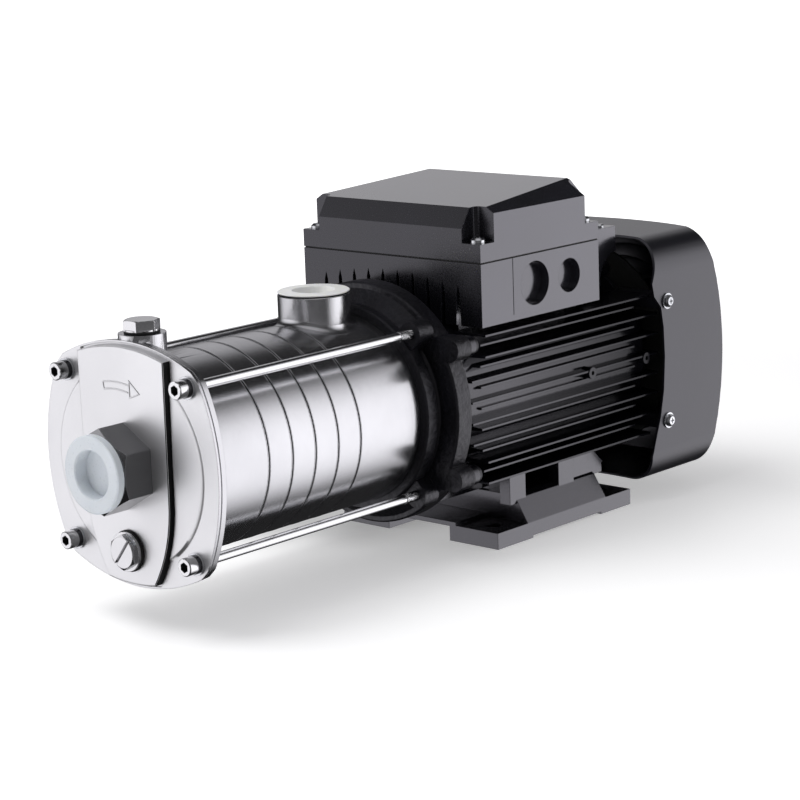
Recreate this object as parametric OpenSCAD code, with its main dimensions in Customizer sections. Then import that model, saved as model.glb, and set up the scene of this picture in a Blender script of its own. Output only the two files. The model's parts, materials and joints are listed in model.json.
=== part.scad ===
// Horizontal multistage pump: stainless pump end with five stages, black finned motor,
// terminal box, fan cover and foot.
// The modules are drawn on the shaft's own axes: x = 0 on the front flange's face, +X towards
// the motor, y = 0 and z = 0 on the shaft. placed() moves them to the part's frame, whose
// origin is the middle of the foot's underside.

/* [Overall] */
// Height of the shaft over the foot's underside
shaft_h = 90; // [88:1:100]
// Thickness of the cut of air between two pieces that are pressed or screwed together
seat_gap = 0.05; // [0.02:0.01:0.08]
// Radial air round the caps and other pieces that lift out by hand
hand_gap = 0.3; // [0.25:0.05:0.4]

/* [Suction casing] */
// Half width of the front flange across its flat sides
flange_half = 67.5; // [66:0.5:70]
// Radius of the flange's bulged sides
flange_side_r = 112.7; // [105:1:130]
// Radius that rounds the flange's corners
flange_corner_r = 75; // [74:0.5:77]
// Thickness of the flange
flange_t = 6; // [5:0.5:8]
// Height of the upright band over the flange's face
band_h = 4; // [3:0.5:5]
// Half width of the band beside the suction port
band_half = 33; // [31:0.5:35]
// Radius of the domed field round the suction port
dome_r = 57; // [55:0.5:58]
// Distance from the flange's face to the first seam of the barrel
first_seam = 48.6; // [48:0.2:52]
// Distance of the tie bolts from the shaft, across and up
tie_off = 47.3; // [47:0.1:48]

/* [Ports and plugs] */
// Width across the flats of the suction adapter
adapter_af = 41.5; // [41:0.5:44]
// How far the adapter stands out from the band
adapter_len = 19; // [17:0.5:24]
// Core radius of the one inch pipe threads
port_thread_r = 15.15; // [15:0.05:15.3]
// Radius of the plain mouth that takes a shipping cap
port_mouth_r = 17; // [16.8:0.1:17.4]
// Depth of the plain mouth
port_mouth_d = 5.2; // [4.8:0.2:6]
// Outside radius of the discharge port
discharge_r = 20.8; // [20.4:0.2:22]
// Height of the discharge port's rim over the shaft
discharge_top = 71.6; // [70:0.2:76]
// Height of the filling boss over the shaft
filling_top = 70; // [69:0.5:74]
// Drop of the drain plug below the shaft
drain_drop = 46.5; // [45.5:0.5:47]
// Width across the flats of both plugs
plug_af = 17.5; // [17:0.5:18]

/* [Barrel and stages] */
// Outside radius of the barrel
barrel_r = 55.7; // [55.4:0.1:56.2]
// Thickness of the barrel's sheet
sheet_t = 1.5; // [1.2:0.1:1.6]
// Length of one stage along the shaft
stage_pitch = 18; // [17.5:0.5:20]
// Length of the discharge casing
discharge_len = 52.4; // [51:0.2:58]
// Radius of the impellers
impeller_r = 43; // [40:0.5:44]

/* [Motor] */
// Radius of the bracket's round flange
bracket_r = 72; // [71:0.5:74]
// Length from the barrel's end to the bracket's flange
bracket_neck = 12; // [11:0.5:15]
// Thickness of the bracket's flange
bracket_flange_t = 12; // [10:0.5:14]
// Outside radius of the motor's tube
tube_r = 60; // [59.5:0.1:60.5]
// Length of the motor's tube
tube_len = 177.5; // [174:0.5:186]
// Height of the cooling fins over the tube
fin_h = 10; // [8.5:0.5:11]
// Distance between two long cooling fins
fin_pitch = 12.45; // [12.3:0.05:12.6]
// Height of the top long fin over the shaft
fin_top = 42; // [41.5:0.1:42.5]
// Length of the stator's iron core
core_len = 120; // [110:1:124]
// Half width of the fan cover
cover_half = 77; // [76:0.5:79]
// Radius of the fan cover's corners
cover_corner_r = 42; // [38:1:46]
// Length of the fan cover behind the motor's tube
cover_len = 70.5; // [68:0.5:76]

/* [Terminal box] */
// Length of the box along the shaft
box_len = 110.5; // [108:0.5:114]
// Half width of the box
box_half = 70; // [69:0.5:72]
// Height of the seam between the box and its lid over the shaft
box_seam = 84.3; // [83:0.1:88]
// Height of the lid's lowest top edge over the seam
lid_front_h = 30.7; // [29:0.1:34]
// Height of the lid's highest top edge over the seam
lid_rear_h = 37.2; // [36:0.1:40]

/* [Foot] */
// Length of the foot
foot_len = 130.7; // [128:0.1:140]
// Half width of the foot
foot_half = 62.4; // [61:0.2:66]
// Thickness of the foot's rails
rail_t = 10; // [9:0.5:11]
// Distance between the foot's bolts along the shaft
foot_hole_x = 104; // [103:0.5:108]
// Distance between the foot's bolts across the shaft
foot_hole_y = 96; // [92:0.5:98]
// Radius of the foot's bolt holes
foot_hole_r = 4.5; // [4:0.1:5]

/* [Hidden] */
$fn = 64;
wide_fn = 128;

stainless = [0.80, 0.81, 0.82];
stainless_dark = [0.66, 0.67, 0.69];
black_paint = [0.16, 0.16, 0.18];
cast_black = [0.12, 0.12, 0.13];
cover_grey = [0.24, 0.24, 0.26];
white_plastic = [0.90, 0.92, 0.94];
rubber_black = [0.05, 0.05, 0.05];
copper = [0.72, 0.40, 0.22];
brass_yellow = [0.80, 0.62, 0.28];
iron_grey = [0.42, 0.43, 0.45];

// Places along the shaft, each worked out from the one before
stage_count = 5;
last_seam = first_seam + (stage_count - 1) * stage_pitch;
barrel_end = last_seam + discharge_len;
bracket_flange_x = barrel_end + bracket_neck;
tube_x = bracket_flange_x + bracket_flange_t;
tube_end = tube_x + tube_len;
foot_mid = tube_x + 97;
box_x = tube_x + 14;
box_end = box_x + box_len;
cover_end = tube_end + cover_len;
cover_front = tube_end - 10;
core_x = tube_x + 29;
core_end = core_x + core_len;

// Fits shared by pieces that meet
barrel_in = barrel_r - sheet_t;
joggle_r = barrel_in - seat_gap;
joggle_in = joggle_r - sheet_t;
joggle_len = 3;
gasket_t = 0.9;
gasket_r = barrel_in + 0.45;
eye_hole_r = 17.3;
eye_neck_r = eye_hole_r - hand_gap;
casing_bore_r = barrel_in - 1.5;
cavity_r = casing_bore_r - 2.7;
adapter_hole_r = 18.5;
plug_hole_r = 6;
plug_shank_r = plug_hole_r - 0.08;
seal_t = 2;
filling_x = 13.5;
filling_boss_r = 13;
filling_seal_t = 1.2;
bolt_r = 3;
bolt_shank_r = bolt_r - seat_gap;
bolt_head_r = 5;
bolt_head_h = 6;
washer_t = 1.4;
spring_washer_t = 1.6;
bore_r = tube_r - 5;
spigot_r = bore_r - seat_gap;
spigot_in = bore_r - 5;
fin_tip = tube_r + fin_h;
rotor_r = bore_r - 23;
pump_shaft_r = 7;
seal_shaft_r = 8;
bearing_shaft_r = 8.5;
rotor_shaft_r = 11;
rear_shaft_r = 7.5;
fan_shaft_r = 6;
front_race_r = 20;
rear_race_r = 17.5;
ear_y = tube_r + 6.5;
ear_z = 38;
ear_r = 7;
frame_ear_r = 6;
ear_t = 5.5;
ear_head_h = 3;
shield_screw_y = 28;
shield_screw_z = chord(tube_r + 1.9, shield_screw_y);
cover_t = 1.5;
cover_screw_x = tube_end + 6.5;
cover_screw_z = 38;
fan_x = tube_end + 17.5;
fan_r = cover_half - 8;
box_floor = tube_r + 6;
box_skirt = 47;
box_wall = 2.5;
box_floor_t = 3;
pocket_x = 12.6;
pocket_y = 13.6;
pocket_h = 10.6;
gasket_lid_t = 0.8;
lid_z = box_seam + gasket_lid_t / 2;
base_z = box_seam - gasket_lid_t / 2;
lid_screw_x = 6.2;
lid_screw_y = 6.8;
blank_z = 66.4;
blank_large_x = box_x + 49;
blank_small_x = box_x + 81.5;
blank_large_r = 13;
blank_small_r = 10.2;
blank_depth = 7;
blank_wall = 3;
blank_t = 2;
foot_x = foot_mid - foot_len / 2;
foot_end = foot_mid + foot_len / 2;
rail_in = 24.6;
foot_top = -(tube_r + 4);
foot_bolt_x = 24;
foot_bolt_y = 22;
deck_t = 5;
deck_half = 50;
plate_top = rail_t - shaft_h + 2;
duct_end = box_end + 43.5;
duct_half = 50;
duct_t = 2;
duct_screw_x = duct_end - 8.5;
duct_screw_y = duct_half - 6;
arch_r = 18;

function seam(i) = first_seam + i * stage_pitch;
function chord(r, d) = sqrt(r * r - d * d);

// Frames and turned or extruded shapes along the axes
module placed() {
    translate([-foot_mid, 0, shaft_h]) children();
}
module xrod(r, x1, x2) {
    translate([x1, 0, 0]) rotate([0, 90, 0]) cylinder(r = r, h = x2 - x1);
}
module xtube(ro, ri, x1, x2) {
    difference() {
        xrod(ro, x1, x2);
        xrod(ri, x1 - 1, x2 + 1);
    }
}
// Turns points given as [radius, x] about the shaft
module xturn(points) {
    rotate([0, 90, 0]) rotate_extrude() polygon(points);
}
// Turns points given as [radius, z] about an upright axis
module zturn(points) {
    rotate_extrude() polygon(points);
}
// Extrudes an outline drawn in y and z along the shaft
module yz_prism(x1, x2) {
    translate([x1, 0, 0]) rotate([90, 0, 90]) linear_extrude(x2 - x1) children();
}
// Extrudes an outline drawn in x and z across the shaft
module xz_prism(y1, y2) {
    translate([0, y2, 0]) rotate([90, 0, 0]) linear_extrude(y2 - y1) children();
}
module at_corners(y, z) {
    for (sy = [-1, 1], sz = [-1, 1]) translate([0, sy * y, sz * z]) children();
}
module xhex(af, x1, x2) {
    translate([x1, 0, 0]) rotate([0, 90, 0]) cylinder(r = af / 2 / cos(30), h = x2 - x1, $fn = 6);
}
module box_between(lo, hi) {
    translate(lo) cube(hi - lo);
}

// Front flange: four bulged sides, the corners rounded by one circle
module flange_outline(cut = 0) {
    off = flange_side_r - flange_half;
    intersection() {
        translate([off, 0]) circle(r = flange_side_r - cut, $fn = wide_fn);
        translate([-off, 0]) circle(r = flange_side_r - cut, $fn = wide_fn);
        translate([0, off]) circle(r = flange_side_r - cut, $fn = wide_fn);
        translate([0, -off]) circle(r = flange_side_r - cut, $fn = wide_fn);
        circle(r = flange_corner_r - cut, $fn = wide_fn);
    }
}
// Upright band: nearly straight above, drawn in along an arc below
band_low = -15;
band_bottom = -72;
band_arc_r = 87.2;
band_steps = 9;
rim_w = 2.4;
slot_w = 1.2;
function band_side(z) = band_half - band_arc_r + chord(band_arc_r, z - band_low);
module band_outline(cut = 0) {
    lower = [for (i = [0 : band_steps]) band_low + (band_bottom - band_low) * i / band_steps];
    right = [for (z = lower) [band_side(z) - cut, z]];
    left = [for (i = [band_steps : -1 : 0]) [cut - band_side(lower[i]), lower[i]]];
    intersection() {
        polygon(concat([[band_half + 1 - cut, 75]], right, left, [[cut - band_half - 1, 75]]));
        flange_outline(rim_w + cut);
    }
}
// Direction arrow: a bent shaft between two arcs with a plain head
module arrow_outline(cut = 0) {
    arc_y = 4;
    arc_z = -5;
    tail = [58 * cos(78.5 + cut), 58 * sin(78.5 + cut)];
    neck = [58 * cos(102), 58 * sin(102)];
    translate([arc_y, arc_z]) intersection() {
        difference() {
            circle(r = 51 - cut, $fn = wide_fn);
            circle(r = 46.5 + cut, $fn = wide_fn);
        }
        polygon([[0, 0], tail, neck]);
    }
    polygon([[-6.6 - cut, 47.6 - 2.2 * cut], [-14.8 + 1.6 * cut, 40.8], [-6.6 - cut, 37.6 + 1.6 * cut]]);
}
module suction_casing() {
    lip_t = 1.6;
    groove_t = 1.1;
    floor_x = 6;
    guide_x = seam(-1) - joggle_len;
    color(stainless) difference() {
        union() {
            yz_prism(0, lip_t) flange_outline();
            yz_prism(lip_t - 0.1, lip_t + groove_t + 0.1) flange_outline(2);
            yz_prism(lip_t + groove_t, flange_t) flange_outline(0.4);
            translate([-1.2, 0, 0]) rotate([0, 90, 0]) cylinder(r1 = dome_r - 2, r2 = dome_r, h = 1.4);
            yz_prism(-band_h + 0.5, lip_t) band_outline();
            yz_prism(-band_h, -band_h + 0.5) band_outline(0.5);
            yz_prism(-band_h - 0.25, -band_h + 0.1) difference() {
                arrow_outline();
                arrow_outline(0.55);
            }
            xrod(barrel_r, flange_t - 1, first_seam);
            translate([filling_x, 0, 40]) cylinder(r = filling_boss_r, h = filling_top - 40);
        }
        yz_prism(-3, lip_t - 0.5) difference() {
            band_outline(-slot_w);
            band_outline();
        }
        xrod(cavity_r, floor_x, guide_x + 1);
        xrod(casing_bore_r, guide_x, first_seam - joggle_len);
        xrod(barrel_in, first_seam - joggle_len - 0.6, first_seam + 1);
        xrod(adapter_hole_r, -band_h - 1, floor_x + 1);
        translate([0, 0, -drain_drop]) xrod(plug_hole_r, -band_h - 1, floor_x + 1);
        translate([filling_x, 0, 40]) cylinder(r = plug_hole_r, h = 40);
        at_corners(tie_off, tie_off) xrod(bolt_r + hand_gap, -2, flange_t + 1);
    }
}
module suction_adapter() {
    x1 = -band_h - adapter_len;
    corner_r = adapter_af / 2 / cos(30);
    color(stainless_dark) difference() {
        union() {
            intersection() {
                xhex(adapter_af, x1, -band_h);
                xturn([[0, x1], [adapter_af / 2 - 0.4, x1], [corner_r + 0.3, x1 + 2.4],
                    [corner_r + 0.3, -band_h], [0, -band_h]]);
            }
            xrod(adapter_hole_r - seat_gap, -band_h - 1, flange_t - 0.5);
        }
        xrod(port_thread_r, x1 - 1, flange_t + 1);
        xrod(port_mouth_r, x1 - 1, x1 + port_mouth_d);
    }
}
// Shipping cap: points as [radius, distance out from the rim], turned by the caller
// and seated on a narrow ring that holds the rim off by lift
function cap_profile(rim_r, rim_t, dish_r, plug_r, plug_d, lift) = [
    [0, -plug_d], [plug_r - 0.8, -plug_d], [plug_r, 0.8 - plug_d], [plug_r, 0], [plug_r + 1.8, 0],
    [plug_r + 1.8, lift], [rim_r - 0.4, lift], [rim_r, lift + 0.4], [rim_r, rim_t - 0.5],
    [rim_r - 0.8, rim_t], [dish_r + 0.6, rim_t], [dish_r, rim_t - 0.6], [dish_r, 1.8 - plug_d],
    [0, 1.8 - plug_d]];
module suction_cap() {
    x1 = -band_h - adapter_len;
    profile = cap_profile(21.3, 5, 13.2, port_mouth_r - hand_gap, port_mouth_d - 0.3, 0.3);
    color(white_plastic) xturn([for (p = profile) [p[0], x1 - p[1]]]);
}
module drain_plug() {
    face_x = -band_h - 6.3;
    flange_x = -band_h - seal_t - 1.5;
    color(stainless_dark) translate([0, 0, -drain_drop]) difference() {
        union() {
            intersection() {
                xhex(plug_af, face_x, flange_x + 0.2);
                xturn([[0, face_x], [plug_af / 2 - 0.3, face_x], [plug_af / 2 + 1.4, face_x + 1],
                    [plug_af / 2 + 1.4, flange_x + 1], [0, flange_x + 1]]);
            }
            xrod(10.9, flange_x, -band_h - seal_t);
            xrod(plug_shank_r, -band_h - seal_t - 0.5, flange_t + 1);
        }
        rotate([38, 0, 0]) box_between([face_x - 1, -0.8, -12], [face_x + 1.6, 0.8, 12]);
    }
}
module drain_plug_seal() {
    color(rubber_black) translate([0, 0, -drain_drop])
        xturn([[plug_hole_r + 0.4, -band_h - seal_t], [10.8, -band_h - seal_t],
            [11.5, -band_h - seal_t / 2 - 0.4], [11.5, -band_h - seal_t / 2 + 0.4],
            [10.8, -band_h], [plug_hole_r + 0.4, -band_h]]);
}
module filling_plug() {
    seat_z = filling_top + filling_seal_t;
    color(stainless_dark) translate([filling_x, 0, 0]) union() {
        intersection() {
            translate([0, 0, seat_z]) rotate([0, 0, 12]) cylinder(r = plug_af / 2 / cos(30), h = 6, $fn = 6);
            zturn([[0, seat_z], [11, seat_z], [11, seat_z + 5], [plug_af / 2 - 0.2, seat_z + 6],
                [0, seat_z + 6]]);
        }
        translate([0, 0, filling_top - 12]) cylinder(r = plug_shank_r, h = 12.5 + filling_seal_t);
        translate([0, 0, seat_z]) cylinder(r = 9.6, h = 1);
    }
}
module filling_plug_seal() {
    color(rubber_black) translate([filling_x, 0, filling_top])
        zturn([[plug_hole_r + 0.4, 0], [9.4, 0], [9.8, 0.4], [9.8, 0.8], [9.4, filling_seal_t],
            [plug_hole_r + 0.4, filling_seal_t]]);
}

// Tie bolts: socket head in front, bare shank along the barrel, threaded end in the bracket
thread_len = 22;
thread_pitch = 1;
module thread_profile(x1, x2, r) {
    turns = floor((x2 - x1) / thread_pitch);
    ridge = [for (i = [0 : turns - 1], s = [0, 1]) [r - 0.35 * s, x1 + (i + s / 2) * thread_pitch]];
    xturn(concat([[0, x1]], ridge, [[r - 0.35, x1 + turns * thread_pitch], [0, x1 + turns * thread_pitch]]));
}
module tie_bolts() {
    head_x = -washer_t - spring_washer_t - bolt_head_h;
    end_x = bracket_flange_x + 1;
    color(stainless) at_corners(tie_off, tie_off) difference() {
        union() {
            xturn([[0, head_x], [bolt_head_r - 0.5, head_x], [bolt_head_r, head_x + 0.5],
                [bolt_head_r, head_x + bolt_head_h], [0, head_x + bolt_head_h]]);
            xrod(2.65, head_x + bolt_head_h - 0.5, end_x - thread_len + 0.5);
            thread_profile(end_x - thread_len, end_x, bolt_shank_r);
        }
        xhex(5, head_x - 1, head_x + 3.6);
    }
}
module tie_bolt_washers() {
    color(stainless_dark) at_corners(tie_off, tie_off) xtube(6.2, bolt_r + 0.15, -washer_t, 0);
}
module tie_bolt_spring_washers() {
    x1 = -washer_t - spring_washer_t;
    color(iron_grey) at_corners(tie_off, tie_off) difference() {
        xtube(5.2, bolt_r + 0.15, x1, -washer_t);
        rotate([20, 0, 0]) translate([0, 0, 4]) rotate([0, 0, 25]) cube([8, 0.7, 5], center = true);
    }
}

// Stage shells: drawn cups whose narrow front end sits in the shell before
function cup_profile(x0, x_end) = [
    [eye_hole_r, x0 - joggle_len], [joggle_r, x0 - joggle_len], [joggle_r, x0 + gasket_t],
    [barrel_r, x0 + gasket_t], [barrel_r, x_end], [barrel_in, x_end],
    [barrel_in, x0 + gasket_t + sheet_t], [joggle_in, x0 + gasket_t + sheet_t],
    [joggle_in, x0 - joggle_len + sheet_t], [eye_hole_r, x0 - joggle_len + sheet_t]];
module stage_shell(i) {
    color(stainless) xturn(cup_profile(seam(i), seam(i + 1)));
}
module discharge_casing() {
    boss_bottom = barrel_r - 9.7;
    color(stainless) difference() {
        union() {
            xturn(cup_profile(last_seam, barrel_end));
            translate([discharge_x, 0, boss_bottom]) zturn([[0, 0], [discharge_r, 0],
                [discharge_r, discharge_top - boss_bottom - 0.5],
                [discharge_r - 0.5, discharge_top - boss_bottom], [0, discharge_top - boss_bottom]]);
        }
        translate([discharge_x, 0, boss_bottom - 1]) cylinder(r = port_thread_r, h = 60);
        translate([discharge_x, 0, discharge_top - port_mouth_d]) cylinder(r = port_mouth_r, h = 60);
    }
}
discharge_x = last_seam + 24.9;
module discharge_cap() {
    profile = cap_profile(discharge_r, 1.9, 11.8, port_mouth_r - hand_gap, port_mouth_d - 0.3, 0.7);
    color(white_plastic) translate([discharge_x, 0, discharge_top]) zturn(profile);
}
module casing_gaskets() {
    color(rubber_black) for (i = [0 : stage_count - 1])
        xtube(gasket_r, barrel_in, seam(i), seam(i) + gasket_t);
}
module suction_guide() {
    x1 = seam(-1) - joggle_len;
    color(stainless_dark) xturn([[eye_hole_r, x1], [casing_bore_r - seat_gap, x1],
        [casing_bore_r - seat_gap, x1 + 5], [casing_bore_r - seat_gap - sheet_t, x1 + 5],
        [casing_bore_r - seat_gap - sheet_t, x1 + sheet_t], [eye_hole_r, x1 + sheet_t]]);
}

// One curved blade: part of a ring whose circle, centred at c, runs through the shaft
module blade_2d(c, half_t, r1, r2) {
    arc_r = norm(c);
    intersection() {
        translate(c) difference() {
            circle(r = arc_r + half_t);
            circle(r = arc_r - half_t);
        }
        difference() {
            circle(r = r2);
            circle(r = r1);
        }
        square([r2 + 1, r2 + 1]);
    }
}
hub_r = 10.5;
hub_x1 = 1;
hub_x2 = 8;
blade_count = 6;
module impeller(i) {
    x0 = seam(i - 2);
    color(stainless_dark) union() {
        xturn([[eye_neck_r - 1.8, x0 - 3.5], [eye_neck_r, x0 - 3.5], [eye_neck_r, x0 - 0.7],
            [impeller_r, x0 - 0.7], [impeller_r, x0 + 0.5], [eye_neck_r - 1.8, x0 + 0.5]]);
        xturn([[pump_shaft_r + seat_gap, x0 + hub_x1], [hub_r, x0 + hub_x1], [hub_r, x0 + 4.5],
            [impeller_r, x0 + 4.5], [impeller_r, x0 + 5.7], [hub_r, x0 + 5.7], [hub_r, x0 + hub_x2],
            [pump_shaft_r + seat_gap, x0 + hub_x2]]);
        yz_prism(x0 + 0.3, x0 + 4.7) for (k = [0 : blade_count - 1])
            rotate(k * 360 / blade_count) blade_2d([30, 0], 0.6, 16, impeller_r - 0.6);
    }
}
guide_count = 8;
module diffusers() {
    plate_x = 6.5;
    plate_t = 1.2;
    color(iron_grey) for (i = [0 : stage_count - 1]) {
        x0 = seam(i - 1);
        union() {
            xtube(impeller_r + 3, hub_r + 1, x0 + plate_x, x0 + plate_x + plate_t);
            for (a = [45 : 90 : 315]) rotate([a, 0, 0])
                box_between([x0 + plate_x, impeller_r + 1.2, -5],
                    [x0 + plate_x + plate_t, casing_bore_r - 0.7, 5]);
            yz_prism(x0 + plate_x + plate_t / 2, x0 + stage_pitch - joggle_len)
                for (k = [0 : guide_count - 1])
                    rotate(k * 360 / guide_count) blade_2d([0, 32], 0.6, 20, impeller_r + 0.2);
        }
    }
}
module impeller_spacers() {
    color(stainless) {
        for (i = [0 : stage_count - 2])
            xtube(9.6, pump_shaft_r + seat_gap, seam(i - 1) + hub_x2, seam(i) + hub_x1);
        xtube(9.6, pump_shaft_r + seat_gap, seam(stage_count - 2) + hub_x2, shoulder_x);
    }
}
shoulder_x = seam(stage_count - 2) + hub_x2 + 3.4;
nut_x = seam(-1) + hub_x1;
module impeller_nut() {
    color(stainless_dark) difference() {
        xhex(17, nut_x - 6, nut_x);
        xrod(5 + seat_gap, nut_x - 7, nut_x + 1);
    }
}
module shaft() {
    fan_seat_x = tube_end + 9;
    tip = fan_x + 16;
    color(stainless) xturn([[0, nut_x - 8], [4.3, nut_x - 8], [5, nut_x - 7.3], [5, nut_x],
        [pump_shaft_r, nut_x], [pump_shaft_r, shoulder_x], [seal_shaft_r, shoulder_x],
        [seal_shaft_r, bearing_x - 2], [bearing_shaft_r, bearing_x - 2], [bearing_shaft_r, bearing_x + 12],
        [rotor_shaft_r, bearing_x + 12], [rotor_shaft_r, rear_bearing_x], [rear_shaft_r, rear_bearing_x],
        [rear_shaft_r, fan_seat_x], [fan_shaft_r, fan_seat_x], [fan_shaft_r, tip - 1],
        [fan_shaft_r - 1, tip], [0, tip]]);
}

// Shaft seal between the discharge casing and the bracket
seal_face_x = barrel_end - 10;
module seal_plate() {
    b = barrel_end;
    color(stainless_dark) xturn([[9.5, b - 3], [9.5, b + 6], [22, b + 6], [22, b + 2.5], [barrel_r, b + 2.5],
        [barrel_r, b], [joggle_r, b], [joggle_r, b - 4],
        [joggle_r - 4.15, b - 4], [joggle_r - 4.15, b - 1], [22, b - 1],
        [22, seal_face_x], [14 + seat_gap, seal_face_x], [14 + seat_gap, b - 3]]);
}
module seal_seat() {
    color([0.85, 0.84, 0.80]) xtube(14, seal_shaft_r + 0.6, seal_face_x, barrel_end - 3);
}
module seal_rotary() {
    x1 = seal_face_x - 18;
    color(rubber_black) xturn([[seal_shaft_r + seat_gap, x1], [12.6, x1], [12.6, x1 + 3], [10.6, x1 + 3],
        [10.6, x1 + 12], [13.4, x1 + 12], [13.4, x1 + 18], [seal_shaft_r + seat_gap, x1 + 18]]);
}
module slinger() {
    x1 = barrel_end + 6.8;
    color(rubber_black) xturn([[seal_shaft_r + seat_gap, x1], [19, x1 + 0.2], [19, x1 + 1.2], [12, x1 + 1.6],
        [12, x1 + 2], [seal_shaft_r + seat_gap, x1 + 2]]);
}

// Bracket: carries the barrel in front, the motor behind and the front bearing inside
bearing_x = bracket_flange_x;
module ears_2d(r) {
    reach = ear_y - 20;
    for (sy = [-1, 1], sz = [-1, 1]) {
        translate([sy * ear_y, sz * ear_z]) circle(r = r);
        translate([sy * (ear_y - reach / 2), sz * ear_z]) square([reach, 2 * r - 0.3], center = true);
    }
}
module motor_bracket() {
    b = barrel_end;
    f = bracket_flange_x;
    ring_r = barrel_r + 5.3;
    neck_r = ring_r - 4;
    color(cast_black) difference() {
        union() {
            xturn([[0, b - 1.5], [ring_r - 1, b - 1.5], [ring_r, b - 0.5], [ring_r, b + 7],
                [neck_r, f - 2.5], [neck_r + 2, f], [bracket_r - 1, f], [bracket_r, f + 1],
                [bracket_r, tube_x], [spigot_r, tube_x], [spigot_r, tube_x + 4], [0, tube_x + 4]]);
            yz_prism(f, tube_x) ears_2d(ear_r);
            for (a = [45 : 90 : 315]) rotate([a, 0, 0]) {
                box_between([b + 1, 40, -7.2], [f + 1, tie_off * sqrt(2), 7.2]);
                translate([0, tie_off * sqrt(2), 0]) xrod(7.4, b + 1, f + 1);
            }
            for (s = [0, 1]) mirror([0, 0, s]) intersection() {
                xturn([[30, b + 4], [ring_r - 0.5, b + 4], [bracket_r - 3, f + 0.5], [30, f + 0.5]]);
                yz_prism(b, f + 1) polygon([[24, 30], [60, 75], [-60, 75], [-24, 30]]);
            }
        }
        xrod(barrel_r + seat_gap, b - 3, b + 2.5);
        xrod(26, b + 2, f - 3);
        xrod(9.3, b, tube_x);
        xrod(front_race_r + 0.02, f, tube_x + 10);
        xtube(spigot_in, 27, f + 1, tube_x + 5);
        translate([f - 6, 0, -70]) cylinder(r = 3.5, h = 60);
        at_corners(tie_off, tie_off) xrod(bolt_r, b, f + 3);
        at_corners(ear_y, ear_z) xrod(bolt_r, f + 2, tube_x + 1);
    }
}
module motor_bolts() {
    head_x = tube_x + ear_t;
    color(iron_grey) at_corners(ear_y, ear_z) difference() {
        union() {
            xrod(bolt_shank_r, tube_x - 9, head_x + 1);
            xrod(bolt_head_r, head_x, head_x + ear_head_h);
        }
        xhex(4, head_x + ear_head_h - 2, head_x + ear_head_h + 1);
    }
}

// Finned motor tube: long and short fins lie flat on both sides, upright ones carry the box
short_fins = 7;
fin_root_t = 2.8;
fin_tip_t = 1.2;
arm_top = long_z(7) - fin_root_t / 2 - 0.1;
module side_fin_2d(z, tip) {
    root = chord(tube_r - 2, z);
    polygon([[root, z - fin_root_t / 2], [tip, z - fin_tip_t / 2], [tip, z + fin_tip_t / 2],
        [root, z + fin_root_t / 2]]);
}
module both_sides_2d() {
    children();
    mirror([1, 0]) children();
}
function long_z(i) = fin_top - i * fin_pitch;
function short_z(i) = fin_top - 5.9 - i * fin_pitch;
slot_pitch = 11.6;
module stator_frame() {
    far_fin_end = tube_end + 6;
    near_fin_end = tube_end - 3;
    plate_x1 = tube_x + 4;
    plate_x2 = tube_end - 1;
    plate_z1 = long_z(4) + 1;
    plate_z2 = long_z(1) - 1;
    color(black_paint) difference() {
        union() {
            xrod(tube_r, tube_x, tube_end);
            yz_prism(tube_x, tube_x + ear_t) ears_2d(frame_ear_r);
            yz_prism(tube_x + 3.5, far_fin_end) both_sides_2d()
                for (i = [2 : 5]) side_fin_2d(long_z(i), fin_tip);
            yz_prism(tube_x + 16, far_fin_end) both_sides_2d() side_fin_2d(long_z(1), fin_tip);
            yz_prism(tube_x + 16, near_fin_end) both_sides_2d()
                for (i = [0, 6, 7]) side_fin_2d(long_z(i), fin_tip);
            yz_prism(tube_x + 16, tube_end - 13) both_sides_2d()
                for (i = [0 : short_fins - 1]) side_fin_2d(short_z(i), fin_tip - 4);
            intersection() {
                box_between([plate_x1, -fin_tip, plate_z1], [plate_x2, -tube_r + 12, plate_z2]);
                xrod(tube_r + 4, plate_x1 - 1, plate_x2 + 1);
            }
            for (x = [box_x + 102, box_x + 157]) translate([x, 0, 3.2])
                rotate([90, 0, 0]) cylinder(r = 3.6, h = fin_tip + 0.5);
            for (k = [-4 : 4]) box_between([box_x + 5, k * slot_pitch - 1.2, tube_r / 2 - 5],
                [box_end - 6, k * slot_pitch + 1.2, box_floor]);
            for (x = box_screw_x, y = box_screw_y) translate([x, y, 30]) cylinder(r = 5, h = box_floor - 30);
            for (s = [-1, 1]) box_between([foot_mid + s * foot_bolt_x - 11, -31, foot_top],
                [foot_mid + s * foot_bolt_x + 11, 31, -40]);
            for (k = [-3 : 3]) box_between([tube_x + 16, k * 9 - 1.2, -tube_r - 2.5],
                [near_fin_end, k * 9 + 1.2, -40]);
            at_corners(shield_screw_y, shield_screw_z) xrod(6, tube_end - 14, tube_end);
        }
        xrod(bore_r, tube_x - 1, tube_end + 1);
        xrod(tube_r + 1, tube_end, tube_end + 20);
        at_corners(ear_y, ear_z) xrod(bolt_r + hand_gap, tube_x - 1, tube_x + 16);
        at_corners(ear_y, ear_z) xrod(bolt_head_r + 1, tube_x + ear_t, tube_x + 16.5);
        at_corners(shield_screw_y, shield_screw_z) xrod(2.1, tube_end - 11, tube_end + 1);
        for (x = box_screw_x, y = box_screw_y) translate([x, y, bore_r + 2]) cylinder(r = 2.1, h = 20);
        for (s = [-1, 1], t = [-1, 1]) translate([foot_mid + s * foot_bolt_x, t * foot_bolt_y, foot_top - 1])
            cylinder(r = bolt_r, h = 8);
        for (x = [box_x + 102, box_x + 157]) translate([x, -fin_tip + 5, 3.2])
            rotate([90, 0, 0]) cylinder(r = 1.3, h = 9);
    }
}
box_screw_x = [box_x + 16, box_end - 16];
box_screw_y = [-29, 29];

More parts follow.
